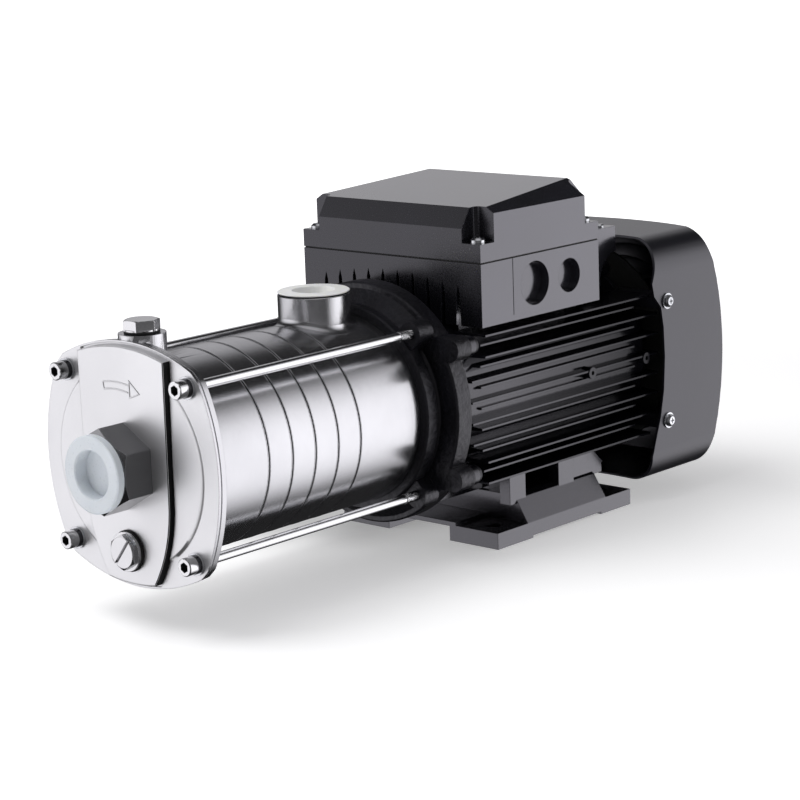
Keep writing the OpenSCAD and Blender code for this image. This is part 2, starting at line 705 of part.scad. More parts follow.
// Electrical parts and rotor
tooth_count = 24;
module stator_core() {
    color(iron_grey) difference() {
        xrod(spigot_r, core_x, core_end);
        xrod(rotor_r + 0.4, core_x - 1, core_end + 1);
        yz_prism(core_x - 1, core_end + 1) for (k = [0 : tooth_count - 1]) rotate(k * 360 / tooth_count)
            polygon([[rotor_r + 4, -1.6], [bore_r - 9, -2.6], [bore_r - 9, 2.6], [rotor_r + 4, 1.6]]);
    }
}
front_winding_len = 17;
rear_winding_len = 14;
module winding_end(x1, x2) {
    ri = rotor_r + 3.5;
    ro = bore_r - 6;
    bulge = (x2 - x1) * 0.35;
    round_off = (x2 - x1) * 0.1;
    xturn([[ri + 0.5, x1], [ro - 3, x1], [ro, x1 + bulge], [ro - 2, x2 - round_off], [ro - 6, x2],
        [ri + 3.5, x2 - round_off], [ri, x1 + bulge]]);
}
module stator_windings() {
    color(copper) {
        winding_end(core_x, core_x - front_winding_len);
        winding_end(core_end, core_end + rear_winding_len);
    }
}
module rotor_core() {
    color(iron_grey) difference() {
        xturn([[rotor_shaft_r + seat_gap, core_x - 6], [rotor_r - 3, core_x - 6], [rotor_r - 2, core_x],
            [rotor_r, core_x], [rotor_r, core_end], [rotor_r - 2, core_end], [rotor_r - 3, core_end + 6],
            [rotor_shaft_r + seat_gap, core_end + 6]]);
        xtube(rotor_r - 11, rotor_shaft_r + 3, core_x - 7, core_x + 1);
        xtube(rotor_r - 11, rotor_shaft_r + 3, core_end - 1, core_end + 7);
    }
}
// Ball bearings: the outer ring stays in its seat, the inner ring turns with its balls
ring_t = 3;
ball_count = 8;
module race_outer(ro, x1, w) {
    color(stainless) difference() {
        xtube(ro, ro - ring_t - 1, x1, x1 + w);
        xrod(ro - ring_t - 0.5, x1 + w / 2 - 1.7, x1 + w / 2 + 1.7);
    }
}
module race_inner(ri, ro, x1, w) {
    groove_r = ri + ring_t;
    ball_r = (ro - ring_t - 0.8 - groove_r - seat_gap) / 2;
    color(stainless_dark) {
        difference() {
            xtube(groove_r + 0.5, ri + seat_gap, x1, x1 + w);
            xtube(groove_r + 5, groove_r, x1 + w / 2 - 1.7, x1 + w / 2 + 1.7);
        }
        for (k = [0 : ball_count - 1]) rotate([k * 360 / ball_count, 0, 0])
            translate([x1 + w / 2, groove_r + seat_gap + ball_r, 0]) sphere(r = ball_r, $fn = 24);
    }
}
rear_bearing_x = tube_end - 3.5;
module rear_end_shield() {
    e = tube_end;
    color(cast_black) difference() {
        union() {
            xturn([[0, e - 4], [spigot_r, e - 4], [spigot_r, e], [tube_r, e], [tube_r, e + 5], [24, e + 7],
                [24, e + 12], [0, e + 12]]);
            at_corners(shield_screw_y, shield_screw_z) xrod(6, e, e + screw_boss_t);
            intersection() {
                for (sy = [-1, 1], sz = [-1, 1]) translate([0, sy * 52, sz * cover_screw_z])
                    box_between([e + 1.5, -24, -4.5], [e + 11.5, 24, 4.5]);
                yz_prism(e, e + 13) cover_outline(cover_t + seat_gap);
            }
        }
        xrod(rear_race_r + 0.02, e - 10, rear_bearing_x + 11);
        xrod(9, e, e + 20);
        xtube(spigot_in, 25, e - 5, e + 2);
        at_corners(shield_screw_y, shield_screw_z) xrod(2.3, e - 1, e + 6);
        for (sz = [-1, 1]) translate([cover_screw_x, 90, sz * cover_screw_z]) rotate([90, 0, 0])
            cylinder(r = 2.1, h = 180);
    }
}
screw_boss_t = 5.5;
module end_shield_screws() {
    seat = tube_end + screw_boss_t;
    color(iron_grey) at_corners(shield_screw_y, shield_screw_z) difference() {
        union() {
            xrod(2.05, tube_end - 9, seat + 0.5);
            xrod(3.8, seat, seat + 3.2);
        }
        xhex(3, seat + 1.2, seat + 4);
    }
}
fan_blades = 8;
module fan() {
    color(cast_black) difference() {
        union() {
            xturn([[fan_shaft_r + seat_gap, fan_x - 4], [12, fan_x - 4], [13, fan_x], [fan_r, fan_x],
                [fan_r, fan_x + 2], [13, fan_x + 2], [12, fan_x + 12], [fan_shaft_r + seat_gap, fan_x + 12]]);
            for (k = [0 : fan_blades - 1]) rotate([k * 360 / fan_blades, 0, 0]) difference() {
                box_between([fan_x + 1, 11, -1.2], [fan_x + 22, fan_r, 1.2]);
                translate([fan_x + 22, 11, -2]) linear_extrude(4)
                    polygon([[-9, -1], [1, -1], [1, 16]]);
            }
        }
        xrod(fan_shaft_r + seat_gap, fan_x - 5, fan_x + 30);
    }
}
module fan_clip() {
    color(iron_grey) difference() {
        xtube(9, fan_shaft_r + seat_gap, fan_x + 12, fan_x + 13);
        box_between([fan_x + 11, -2, 2], [fan_x + 14, 2, 12]);
    }
}

// Fan cover: a rounded square tube whose rear is drawn in along one big arc
module cover_outline(cut) {
    inner = cover_half - cover_corner_r;
    circle_r = cover_corner_r - cut;
    for (sy = [-1, 1], sz = [-1, 1]) translate([sy * inner, sz * inner]) circle(r = circle_r);
    square([2 * (inner + circle_r), 2 * inner], center = true);
    square([2 * inner, 2 * (inner + circle_r)], center = true);
}
dome_arc_r = 30;
dome_flat_r = 62;
function dome_profile(cut) = concat([[0, cover_front - 5], [120, cover_front - 5],
    [120, cover_end - dome_arc_r]],
    [for (a = [0 : 10 : 90]) [dome_flat_r + (dome_arc_r - cut) * cos(a),
        cover_end - dome_arc_r + (dome_arc_r - cut) * sin(a)]], [[0, cover_end - cut]]);
module grille_2d() {
    difference() {
        for (r = [16 : 9.5 : 56]) difference() {
            circle(r = r + 4);
            circle(r = r);
        }
        for (a = [0 : 45 : 135]) rotate(a) square([130, 5], center = true);
    }
}
module fan_cover() {
    side_x = tube_end + 3.8;
    color(cover_grey) difference() {
        intersection() {
            yz_prism(cover_front - 3, cover_end + 1) cover_outline(0);
            xturn(dome_profile(0));
        }
        intersection() {
            yz_prism(cover_front - 4, cover_end + 1) cover_outline(cover_t);
            xturn(dome_profile(cover_t));
        }
        xz_prism(-90, 90) polygon([[cover_front - 10, -90], [cover_front + 12, -90], [cover_front, -55],
            [side_x - 5, -34], [side_x - 1.5, -18], [side_x, 3], [side_x - 1, 22], [side_x - 3.5, 35],
            [cover_front + 3.5, 42], [cover_front + 1.5, 49], [cover_front + 23, 90],
            [cover_front - 10, 90]]);
        yz_prism(cover_end - 5, cover_end + 2) grille_2d();
        for (sz = [-1, 1]) translate([cover_screw_x, 90, sz * cover_screw_z]) rotate([90, 0, 0])
            cylinder(r = 2.3, h = 180);
    }
}
module fan_cover_screws() {
    seat = cover_half;
    color(stainless) for (s = [0, 180], sz = [-1, 1])
        translate([cover_screw_x, 0, 0]) rotate([0, 0, s]) translate([0, 0, sz * cover_screw_z])
            rotate([-90, 0, 0]) difference() {
                zturn([[0, seat - 9], [2.05, seat - 9], [2.05, seat], [5, seat], [5, seat + 0.9],
                    [4, seat + 0.9], [3.9, seat + 2], [2.6, seat + 3.1], [0, seat + 3.3]]);
                for (a = [0, 90]) rotate([0, 0, a]) translate([0, 0, seat + 3.4])
                    cube([3.4, 0.8, 2.4], center = true);
            }
}

// Terminal box: a deep saddle base with ribbed front, and a lid with four corner pockets
module corner_places() {
    for (x = [box_x, box_end], s = [-1, 1])
        translate([x, s * box_half, 0]) mirror([x > box_x ? 1 : 0, 0, 0]) mirror([0, s > 0 ? 1 : 0, 0])
            children();
}
module vent_slot(y) {
    top = 75.7 - 257 + chord(257, y);
    polygon([[y, top], [y + 1.2, top - 4.5], [y + 2, 40], [y - 2, 40], [y - 1.2, top - 4.5]]);
}
module blank_bosses() {
    for (b = [[blank_large_x, blank_large_r], [blank_small_x, blank_small_r]])
        translate([b[0], -box_half, blank_z]) rotate([-90, 0, 0])
            cylinder(r = b[1] + blank_wall, h = blank_depth + 1.5);
}
module terminal_box_base() {
    color(black_paint) difference() {
        union() {
            box_between([box_x, -box_half, box_skirt], [box_end, box_half, base_z]);
            box_between([box_end - 1, -duct_half, box_skirt + 3], [duct_end, duct_half, base_z - 0.5]);
            box_between([box_end + 1, -duct_half, base_z - duct_t], [duct_end, duct_half, base_z + 1.5]);
        }
        difference() {
            union() {
                box_between([box_x + box_wall, box_wall - box_half, box_floor + box_floor_t],
                    [box_end - box_wall, box_half - box_wall, base_z + 5]);
                box_between([box_x + box_wall, box_wall - box_half, box_skirt - 5],
                    [box_end - box_wall, box_half - box_wall, box_floor]);
            }
            corner_places() box_between([-1, -1, box_floor + 0.5], [11, 12, base_z + 10]);
            blank_bosses();
        }
        box_between([box_end + duct_t, duct_t - duct_half, box_skirt],
            [duct_end - duct_t, duct_half - duct_t, base_z - 0.5]);
        translate([duct_end + 2, 80, box_skirt + 5]) rotate([90, 0, 0]) cylinder(r = arch_r, h = 160);
        box_between([duct_end - arch_r + 2, -80, box_skirt], [duct_end + 5, 80, box_skirt + 5]);
        for (s = [-1, 1]) translate([duct_screw_x, s * duct_screw_y, base_z - 5]) cylinder(r = 1.6, h = 10);
        xrod(tube_r + 0.5, box_x - 5, duct_end + 5);
        yz_prism(box_x - 1, box_x + 4) for (k = [-4.5 : 4.5]) vent_slot(k * slot_pitch);
        blank_holes(0);
        for (x = box_screw_x, y = box_screw_y) translate([x, y, 50]) cylinder(r = 2.3, h = 30);
        corner_places() translate([lid_screw_x, lid_screw_y, base_z - 14]) cylinder(r = 2.1, h = 30);
        xz_prism(-box_half - 1, -box_half + 0.3)
            square_between(box_x + 28.6, box_skirt + 3.5, box_x + 29, box_seam);
    }
}
module square_between(x1, y1, x2, y2) {
    translate([x1, y1]) square([x2 - x1, y2 - y1]);
}
module blank_hole(x, r) {
    translate([x, -box_half - 1, blank_z]) rotate([-90, 0, 0]) cylinder(r = r, h = 12);
}
module blank_holes(cut) {
    blank_hole(blank_large_x, blank_large_r - cut);
    blank_hole(blank_small_x, blank_small_r - cut);
}
module duct_screws() {
    seat = base_z + 1.5;
    color(stainless) for (s = [-1, 1]) translate([duct_screw_x, s * duct_screw_y, 0])
        zturn([[0, seat - 7], [1.55, seat - 7], [1.55, seat], [3, seat], [3, seat + 0.8], [2.2, seat + 1.7],
            [0, seat + 1.9]]);
}
module cable_blanks() {
    color(black_paint) for (b = [[blank_large_x, blank_large_r], [blank_small_x, blank_small_r]])
        translate([b[0], -box_half + blank_depth - blank_t / 2, blank_z]) rotate([-90, 0, 0])
            cylinder(r = b[1] - seat_gap, h = blank_t);
}
module lid_gasket() {
    color(rubber_black) difference() {
        box_between([box_x + 0.6, 0.6 - box_half, base_z], [box_end - 0.6, box_half - 0.6, lid_z]);
        box_between([box_x + box_wall, box_wall - box_half, base_z - 1],
            [box_end - box_wall, box_half - box_wall, lid_z + 1]);
    }
}
// Lid block: sloped front and sides under a top that rises to the rear
module lid_block(cut) {
    z0 = lid_z - (cut > 0 ? 1 : 0);
    front = lid_z + lid_front_h - 0.4 - cut;
    rear = lid_z + lid_rear_h - 0.4 - cut;
    intersection() {
        xz_prism(cut - box_half, box_half - cut) polygon([[box_x + cut, z0], [box_end - cut, z0],
            [box_end - cut, rear - 9], [box_end - 10 - cut, rear], [box_x + 7.5 + cut, front],
            [box_x + cut, front - 11.5]]);
        yz_prism(box_x + cut, box_end - cut) polygon([[cut - box_half, z0], [box_half - cut, z0],
            [box_half - cut, front - 3], [box_half - 24 - cut, front + 12], [24 + cut - box_half, front + 12],
            [cut - box_half, front - 3]]);
    }
}
module terminal_box_lid() {
    wall = 2.4;
    round_r = 3;
    color(black_paint) difference() {
        lid_block(0);
        difference() {
            lid_block(wall);
            corner_places() box_between([-1, -1, 0], [pocket_x + wall, pocket_y + wall, 160]);
        }
        corner_places() translate([0, 0, lid_z + pocket_h]) {
            box_between([-1, -1, 0], [pocket_x - round_r, pocket_y, 60]);
            box_between([-1, -1, 0], [pocket_x, pocket_y - round_r, 60]);
            translate([pocket_x - round_r - 0.1, pocket_y - round_r - 0.1, 0]) cylinder(r = round_r, h = 60);
        }
        corner_places() translate([lid_screw_x, lid_screw_y, lid_z - 1]) cylinder(r = 2.4, h = 20);
    }
}
module lid_screws() {
    seat = lid_z + pocket_h;
    color(stainless) corner_places() translate([lid_screw_x, lid_screw_y, 0]) difference() {
        zturn([[0, seat - 24], [2.05, seat - 24], [2.05, seat], [4.3, seat], [4.3, seat + 1.8],
            [3, seat + 3], [0, seat + 3.2]]);
        for (a = [0, 90]) rotate([0, 0, a]) translate([0, 0, seat + 3.3])
            cube([4.2, 0.9, 2.6], center = true);
    }
}
block_x = box_x + 30;
block_w = 22;
block_h = 12;
stud_pitch = 10;
stud_r = 2;
module terminal_block() {
    floor_z = box_floor + box_floor_t;
    color([0.55, 0.30, 0.16]) difference() {
        box_between([block_x, -3.2 * stud_pitch, floor_z],
            [block_x + block_w, 3.2 * stud_pitch, floor_z + block_h]);
        for (k = [-2 : 2]) box_between([block_x - 1, k * stud_pitch - 0.8, floor_z + block_h - 5],
            [block_x + block_w + 1, k * stud_pitch + 0.8, floor_z + block_h + 1]);
        for (k = [-2.5 : 2.5]) translate([block_x + block_w / 2, k * stud_pitch, floor_z + 3])
            cylinder(r = stud_r + seat_gap, h = block_h);
    }
}
module terminal_studs() {
    floor_z = box_floor + box_floor_t;
    color(brass_yellow) for (k = [-2.5 : 2.5]) translate([block_x + block_w / 2, k * stud_pitch, 0]) {
        translate([0, 0, floor_z + 3]) cylinder(r = stud_r, h = block_h + 8);
        translate([0, 0, floor_z + block_h]) cylinder(r = 3.6, h = 3.2, $fn = 6);
    }
}
cap_x = box_x + 78;
cap_r = 16;
cap_len = 71;
cap_y = -38;
strap_w = 14;
strap_y = cap_y + 29;
strap_t = 1.2;
module capacitor() {
    floor_z = box_floor + box_floor_t;
    color([0.88, 0.88, 0.86]) translate([cap_x, cap_y, floor_z + cap_r + 1]) rotate([-90, 0, 0])
        zturn([[0, 0], [cap_r - 1, 0], [cap_r, 1], [cap_r, cap_len - 1], [cap_r - 1, cap_len],
            [4, cap_len], [4, cap_len + 5], [0, cap_len + 5]]);
}
module capacitor_strap() {
    floor_z = box_floor + box_floor_t;
    axis_z = floor_z + cap_r + 1;
    color(iron_grey) difference() {
        union() {
            translate([cap_x, strap_y, axis_z]) rotate([-90, 0, 0])
                cylinder(r = cap_r + strap_t, h = strap_w);
            box_between([cap_x - cap_r - 5, strap_y, floor_z],
                [cap_x + cap_r + 5, strap_y + strap_w, floor_z + strap_t]);
        }
        translate([cap_x, strap_y - 1, axis_z]) rotate([-90, 0, 0])
            cylinder(r = cap_r + seat_gap, h = strap_w + 2);
        box_between([cap_x - cap_r - 9, strap_y - 3, floor_z - 5],
            [cap_x + cap_r + 9, strap_y + strap_w + 3, floor_z]);
    }
}

// Foot: two rails and a plate under a raised deck with steep side webs, arms and a rear cheek
module foot() {
    deck_x1 = foot_mid - 37;
    deck_x2 = foot_mid + 40;
    web_t = 5;
    plate_z = rail_t - shaft_h - 1;
    color(black_paint) difference() {
        union() {
            for (s = [0, 1]) mirror([0, s, 0])
                box_between([foot_x, rail_in, -shaft_h], [foot_end, foot_half, rail_t - shaft_h]);
            box_between([foot_x, -rail_in - 5, plate_z], [foot_end, rail_in + 5, plate_top]);
            yz_prism(deck_x1, deck_x2) polygon([[-foot_half, plate_z], [-foot_half, plate_z + 1],
                [-deck_half - 3.6, foot_top - 2], [-deck_half, foot_top], [deck_half, foot_top],
                [deck_half + 3.6, foot_top - 2], [foot_half, plate_z + 1], [foot_half, plate_z]]);
            for (x = [foot_mid - 43, foot_mid + 4], s = [0, 1]) mirror([0, s, 0])
                box_between([x, deck_half - 4, foot_top - 5], [x + 15, deck_half + 4, arm_top]);
            for (s = [0, 1]) mirror([0, s, 0]) xz_prism(deck_half - 6, deck_half + 2)
                polygon([[foot_mid + 16, foot_top - 3], [foot_mid + 50, foot_top - 3],
                    [foot_mid + 54, foot_top + 1], [foot_mid + 36, arm_top],
                    [foot_mid + 16, arm_top]]);
        }
        yz_prism(deck_x1 + web_t, deck_x2 - web_t) polygon([[-foot_half + 8, plate_z - 1],
            [-deck_half + 1, foot_top - deck_t], [deck_half - 1, foot_top - deck_t],
            [foot_half - 8, plate_z - 1]]);
        xrod(tube_r + 1, foot_x - 1, foot_end + 1);
        box_between([foot_mid - 32, -foot_half - 1, -shaft_h - 1],
            [foot_mid + 35, foot_half + 1, 1.5 - shaft_h]);
        for (s = [-1, 1], t = [-1, 1]) {
            translate([foot_mid + s * foot_hole_x / 2, t * foot_hole_y / 2, -shaft_h - 1])
                cylinder(r = foot_hole_r, h = 30);
            translate([foot_mid + s * foot_bolt_x, t * foot_bolt_y, -shaft_h - 1])
                cylinder(r = bolt_r + hand_gap, h = 40);
        }
    }
}
module foot_bolts() {
    seat = foot_top - deck_t;
    color(iron_grey) for (s = [-1, 1], t = [-1, 1])
        translate([foot_mid + s * foot_bolt_x, t * foot_bolt_y, 0]) union() {
            translate([0, 0, seat - 4]) cylinder(r = 10 / 2 / cos(30), h = 4, $fn = 6);
            translate([0, 0, seat - 1]) cylinder(r = bolt_shank_r, h = deck_t + 7);
        }
}

placed() suction_casing();
placed() suction_adapter();
placed() suction_cap();
placed() drain_plug();
placed() drain_plug_seal();
placed() filling_plug();
placed() filling_plug_seal();
placed() tie_bolts();
placed() tie_bolt_washers();
placed() tie_bolt_spring_washers();
placed() stage_shell(0);  // stage_shell_1
placed() stage_shell(1);  // stage_shell_2
placed() stage_shell(2);  // stage_shell_3
placed() stage_shell(3);  // stage_shell_4
placed() discharge_casing();
placed() discharge_cap();
placed() casing_gaskets();
placed() suction_guide();
placed() impeller(1);  // impeller_1
placed() impeller(2);  // impeller_2
placed() impeller(3);  // impeller_3
placed() impeller(4);  // impeller_4
placed() impeller(5);  // impeller_5
placed() diffusers();
placed() impeller_spacers();
placed() impeller_nut();
placed() shaft();
placed() seal_plate();
placed() seal_seat();
placed() seal_rotary();
placed() slinger();
placed() motor_bracket();
placed() motor_bolts();
placed() stator_frame();
placed() stator_core();
placed() stator_windings();
placed() rotor_core();
placed() race_outer(front_race_r, bearing_x, 12);  // front_bearing_outer
placed() race_inner(bearing_shaft_r, front_race_r, bearing_x, 12);  // front_bearing_inner
placed() race_outer(rear_race_r, rear_bearing_x, 11);  // rear_bearing_outer
placed() race_inner(rear_shaft_r, rear_race_r, rear_bearing_x, 11);  // rear_bearing_inner
placed() rear_end_shield();
placed() end_shield_screws();
placed() fan();
placed() fan_clip();
placed() fan_cover();
placed() fan_cover_screws();
placed() terminal_box_base();
placed() duct_screws();
placed() lid_gasket();
placed() terminal_box_lid();
placed() lid_screws();
placed() cable_blanks();
placed() terminal_block();
placed() terminal_studs();
placed() capacitor();
placed() capacitor_strap();
placed() foot();
placed() foot_bolts();
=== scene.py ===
# %% [markdown]
# # A horizontal multistage pump, dressed for the camera
# The pump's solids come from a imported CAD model. This lesson gives each of them a finish made
# of nodes, adds the soft edges and small pieces that the solids leave out, and puts the whole
# in a plain pale studio. Sizes are in metres. X runs along the shaft from the suction port to
# the fan, Y across the pump and Z up.

# %% Load the CAD frame
import json
import math

import bpy
from mathutils import Matrix, Vector


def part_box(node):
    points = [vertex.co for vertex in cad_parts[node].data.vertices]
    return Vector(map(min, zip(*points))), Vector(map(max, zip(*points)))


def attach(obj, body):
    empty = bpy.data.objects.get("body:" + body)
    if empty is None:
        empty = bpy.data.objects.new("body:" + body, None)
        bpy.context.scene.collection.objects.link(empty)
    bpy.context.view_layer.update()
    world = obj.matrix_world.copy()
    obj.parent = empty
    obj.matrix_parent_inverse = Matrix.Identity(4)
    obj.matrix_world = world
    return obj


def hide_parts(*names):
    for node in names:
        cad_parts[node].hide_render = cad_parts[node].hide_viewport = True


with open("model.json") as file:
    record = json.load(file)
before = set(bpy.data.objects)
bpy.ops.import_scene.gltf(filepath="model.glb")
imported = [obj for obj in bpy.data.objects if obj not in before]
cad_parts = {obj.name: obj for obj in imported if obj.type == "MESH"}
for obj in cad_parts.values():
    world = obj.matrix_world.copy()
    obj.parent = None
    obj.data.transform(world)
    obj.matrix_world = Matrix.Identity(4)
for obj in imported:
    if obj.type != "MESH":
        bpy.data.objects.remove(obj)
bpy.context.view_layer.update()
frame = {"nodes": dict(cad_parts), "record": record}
SHAFT_HEIGHT = 0.090
print("nodes in the frame:", len(frame["nodes"]))

# %% [markdown]
# ## Camera
# The photograph is taken from the left of the suction side, a little above the shaft, with a
# long lens. The place, the turn and the lens below were worked out from the outlines of the
# front flange and the barrel. The camera is also rolled by two degrees, so its axes are written
# out as a matrix instead of being aimed with a constraint.

# %% Place the camera
CAMERA_PLACE = Vector((-1.14455, -0.96842, 0.39252))
AZIMUTH = math.radians(-47.75)
ELEVATION = math.radians(12.01)
ROLL = math.radians(-2.08)


def camera_axes(azimuth, elevation, roll):
    """Right, up and backward directions of a camera that looks at the pump."""
    back = Vector((math.sin(azimuth) * math.cos(elevation),
                   -math.cos(azimuth) * math.cos(elevation), math.sin(elevation)))
    right = Vector((math.cos(azimuth), math.sin(azimuth), 0))
    up = back.cross(right)
    turned_right = math.cos(roll) * right + math.sin(roll) * up
    turned_up = math.cos(roll) * up - math.sin(roll) * right
    return turned_right, turned_up, back


right, up, back = camera_axes(AZIMUTH, ELEVATION, ROLL)
lens = bpy.data.cameras.new("studio_camera")
lens.lens = 110.83
lens.sensor_width = 36
lens.clip_start, lens.clip_end = 0.05, 50
camera = bpy.data.objects.new("studio_camera", lens)
camera.matrix_world = Matrix((right, up, back)).transposed().to_4x4()
camera.location = CAMERA_PLACE
bpy.context.collection.objects.link(camera)
bpy.context.scene.camera = camera
print("camera stands", round((CAMERA_PLACE - Vector((0, 0, 0.1))).length, 3), "m away")

# %% [markdown]
# ## Floor and light
# The barrel in the photograph works like a mirror of the studio. Read from top to bottom it
# shows a thin bright line, a dark band, one broad white band and a near black foot. That is a
# tall soft box level with the pump at the camera's right, a dimmer one behind it, a wide one that
# lights the flange, a soft ceiling, a weak fill by the camera, and near darkness between them. The
# sky below is built from such lobes of light. The white paper is only for the camera and for soft
# shadows: it isn't reflected, so that the metal keeps its dark lower band.

# %% Build the sky
def lobe(nodes, links, direction, towards, start, full, strength):
    """Light round one direction: nothing until the cosine passes start, all of it at full."""
    dot = nodes.new("ShaderNodeVectorMath")
    dot.operation = "DOT_PRODUCT"
    dot.inputs[1].default_value = Vector(towards).normalized()
    fade = nodes.new("ShaderNodeMapRange")
    fade.interpolation_type = "SMOOTHSTEP"
    fade.inputs["From Min"].default_value = start
    fade.inputs["From Max"].default_value = full
    fade.inputs["To Max"].default_value = strength
    links.new(direction, dot.inputs[0])
    links.new(dot.outputs["Value"], fade.inputs["Value"])
    return fade.outputs["Result"]


LOBES = {
    "side_box": ((0.72, -0.68, -0.12), 0.60, 1.00, 1.60),
    "far_box": ((0.70, 0.66, 0.36), 0.88, 1.00, 0.50),
    "front_box": ((-0.70, 0.68, 0.02), 0.60, 1.00, 1.14),
    "camera_fill": ((-0.66, -0.72, 0.15), 0.60, 1.00, 0.12),
    "ceiling": ((-0.10, -0.20, 1.00), 0.75, 1.00, 0.50),
}
DARK_STUDIO = 0.022

world = bpy.data.worlds.new("studio_sky")
bpy.context.scene.world = world
world.use_nodes = True
sky_nodes, sky_links = world.node_tree.nodes, world.node_tree.links
sky_nodes.clear()
sky_direction = sky_nodes.new("ShaderNodeTexCoord").outputs["Generated"]
level = None
for towards, start, full, strength in LOBES.values():
    part = lobe(sky_nodes, sky_links, sky_direction, towards, start, full, strength)
    add = sky_nodes.new("ShaderNodeMath")
    add.inputs[1].default_value = DARK_STUDIO
    sky_links.new(part, add.inputs[0])
    if level is not None:
        sky_links.new(level, add.inputs[1])
    level = add.outputs["Value"]
lit = sky_nodes.new("ShaderNodeBackground")
lit.inputs["Color"].default_value = (0.975, 0.965, 1.0, 1)
sky_links.new(level, lit.inputs["Strength"])
paper = sky_nodes.new("ShaderNodeBackground")
paper.inputs["Color"].default_value = (1, 1, 1, 1)
paper.inputs["Strength"].default_value = 1.1
seen = sky_nodes.new("ShaderNodeLightPath")
choice = sky_nodes.new("ShaderNodeMixShader")
sky_links.new(seen.outputs["Is Camera Ray"], choice.inputs["Fac"])
sky_links.new(lit.outputs["Background"], choice.inputs[1])
sky_links.new(paper.outputs["Background"], choice.inputs[2])
sky_out = sky_nodes.new("ShaderNodeOutputWorld")
sky_links.new(choice.outputs["Shader"], sky_out.inputs["Surface"])
print("lobes in the sky:", ", ".join(LOBES))

# %% Lay the paper and hang the top box
# The paper glows, weakly near the pump and fully far off: painted light and painted shade. A
# painted shadow round DEEP_SHADE, under the far side of the barrel, darkens its colour and its
# glow.
DEEP_SHADE = (-0.05, 0.12, 0)
SHADE_CORE, SHADE_REACH = 0.05, 0.14
SHADE_LEFT = 0.5
NEAR_GLOW = 0.40
PAPER_DRIFT = 0.985


def paper_material(name, colour, near, far):
    """White paper that glows more far off than near, with a painted shadow round DEEP_SHADE."""
    material = bpy.data.materials.new(name)
    material.use_nodes = True
    nodes, links = material.node_tree.nodes, material.node_tree.links
    shader = nodes["Principled BSDF"]
    coordinates = nodes.new("ShaderNodeTexCoord")
    noise = nodes.new("ShaderNodeTexNoise")
    noise.inputs["Scale"].default_value = 6
    ramp = nodes.new("ShaderNodeValToRGB")
    ramp.color_ramp.elements[0].color = (*[c * PAPER_DRIFT for c in colour], 1)
    ramp.color_ramp.elements[1].color = (*colour, 1)
    links.new(coordinates.outputs["Object"], noise.inputs["Vector"])
    links.new(noise.outputs["Fac"], ramp.inputs["Fac"])
    shader.inputs["Roughness"].default_value = 0.8
    distance = nodes.new("ShaderNodeVectorMath")
    distance.operation = "LENGTH"
    glow = nodes.new("ShaderNodeMapRange")
    glow.interpolation_type = "SMOOTHSTEP"
    glow.inputs["From Min"].default_value = near
    glow.inputs["From Max"].default_value = far
    glow.inputs["To Min"].default_value = NEAR_GLOW
    links.new(coordinates.outputs["Object"], distance.inputs[0])
    links.new(distance.outputs["Value"], glow.inputs["Value"])
    shader.inputs["Emission Color"].default_value = (1, 1, 1, 1)
    shade_place = nodes.new("ShaderNodeVectorMath")
    shade_place.operation = "DISTANCE"
    shade_place.inputs[1].default_value = DEEP_SHADE
    shade = nodes.new("ShaderNodeMapRange")
    shade.interpolation_type = "SMOOTHSTEP"
    shade.inputs["From Min"].default_value = SHADE_CORE
    shade.inputs["From Max"].default_value = SHADE_REACH
    shade.inputs["To Min"].default_value = SHADE_LEFT
    dimmed = nodes.new("ShaderNodeMath")
    dimmed.operation = "MULTIPLY"
    links.new(coordinates.outputs["Object"], shade_place.inputs[0])
    links.new(shade_place.outputs["Value"], shade.inputs["Value"])
    links.new(shade.outputs["Result"], dimmed.inputs[0])
    links.new(glow.outputs["Result"], dimmed.inputs[1])
    links.new(dimmed.outputs["Value"], shader.inputs["Emission Strength"])
    darker = nodes.new("ShaderNodeVectorMath")
    darker.operation = "SCALE"
    links.new(ramp.outputs["Color"], darker.inputs[0])
    links.new(shade.outputs["Result"], darker.inputs["Scale"])
    links.new(darker.outputs["Vector"], shader.inputs["Base Color"])
    return material


bpy.ops.object.select_all(action="DESELECT")
bpy.ops.mesh.primitive_plane_add(size=60, location=(0, 0, 0))
floor = bpy.context.object
floor.name = "floor"
floor.data.materials.append(paper_material("floor_paper", (0.93, 0.93, 0.935), 0.45, 1.3))
floor.visible_glossy = False

AIM = Vector((-0.02, 0, 0.10))


def soft_box(name, place, width, height, power):
    """A rectangular area light that faces the pump and isn't mirrored in it."""
    data = bpy.data.lights.new(name, "AREA")
    data.shape = "RECTANGLE"
    data.size, data.size_y = width, height
    data.energy = power
    light = bpy.data.objects.new(name, data)
    light.location = place
    light.rotation_mode = "QUATERNION"
    light.rotation_quaternion = (Vector(place) - AIM).to_track_quat("Z", "Y")
    light.visible_glossy = False
    bpy.context.collection.objects.link(light)
    return light


soft_box("top_box", (-0.60, 0.50, 1.45), 1.4, 1.1, 19)
bpy.context.scene.view_settings.view_transform = "Standard"

# %% [markdown]
# ## Finishes
# Every finish below is built from the same few steps: a colour that drifts between two tones,
# a roughness that changes with a second noise, and a fine relief. The grain runs in Object
# coordinates, which are the CAD model's own metres, so one millimetre is 0.001 and a noise of
# scale 1000 has features about a millimetre wide. A stretched Mapping turns round grain into
# the long marks of a brush or a lathe tool. A Bevel node softens the look of sharp edges.

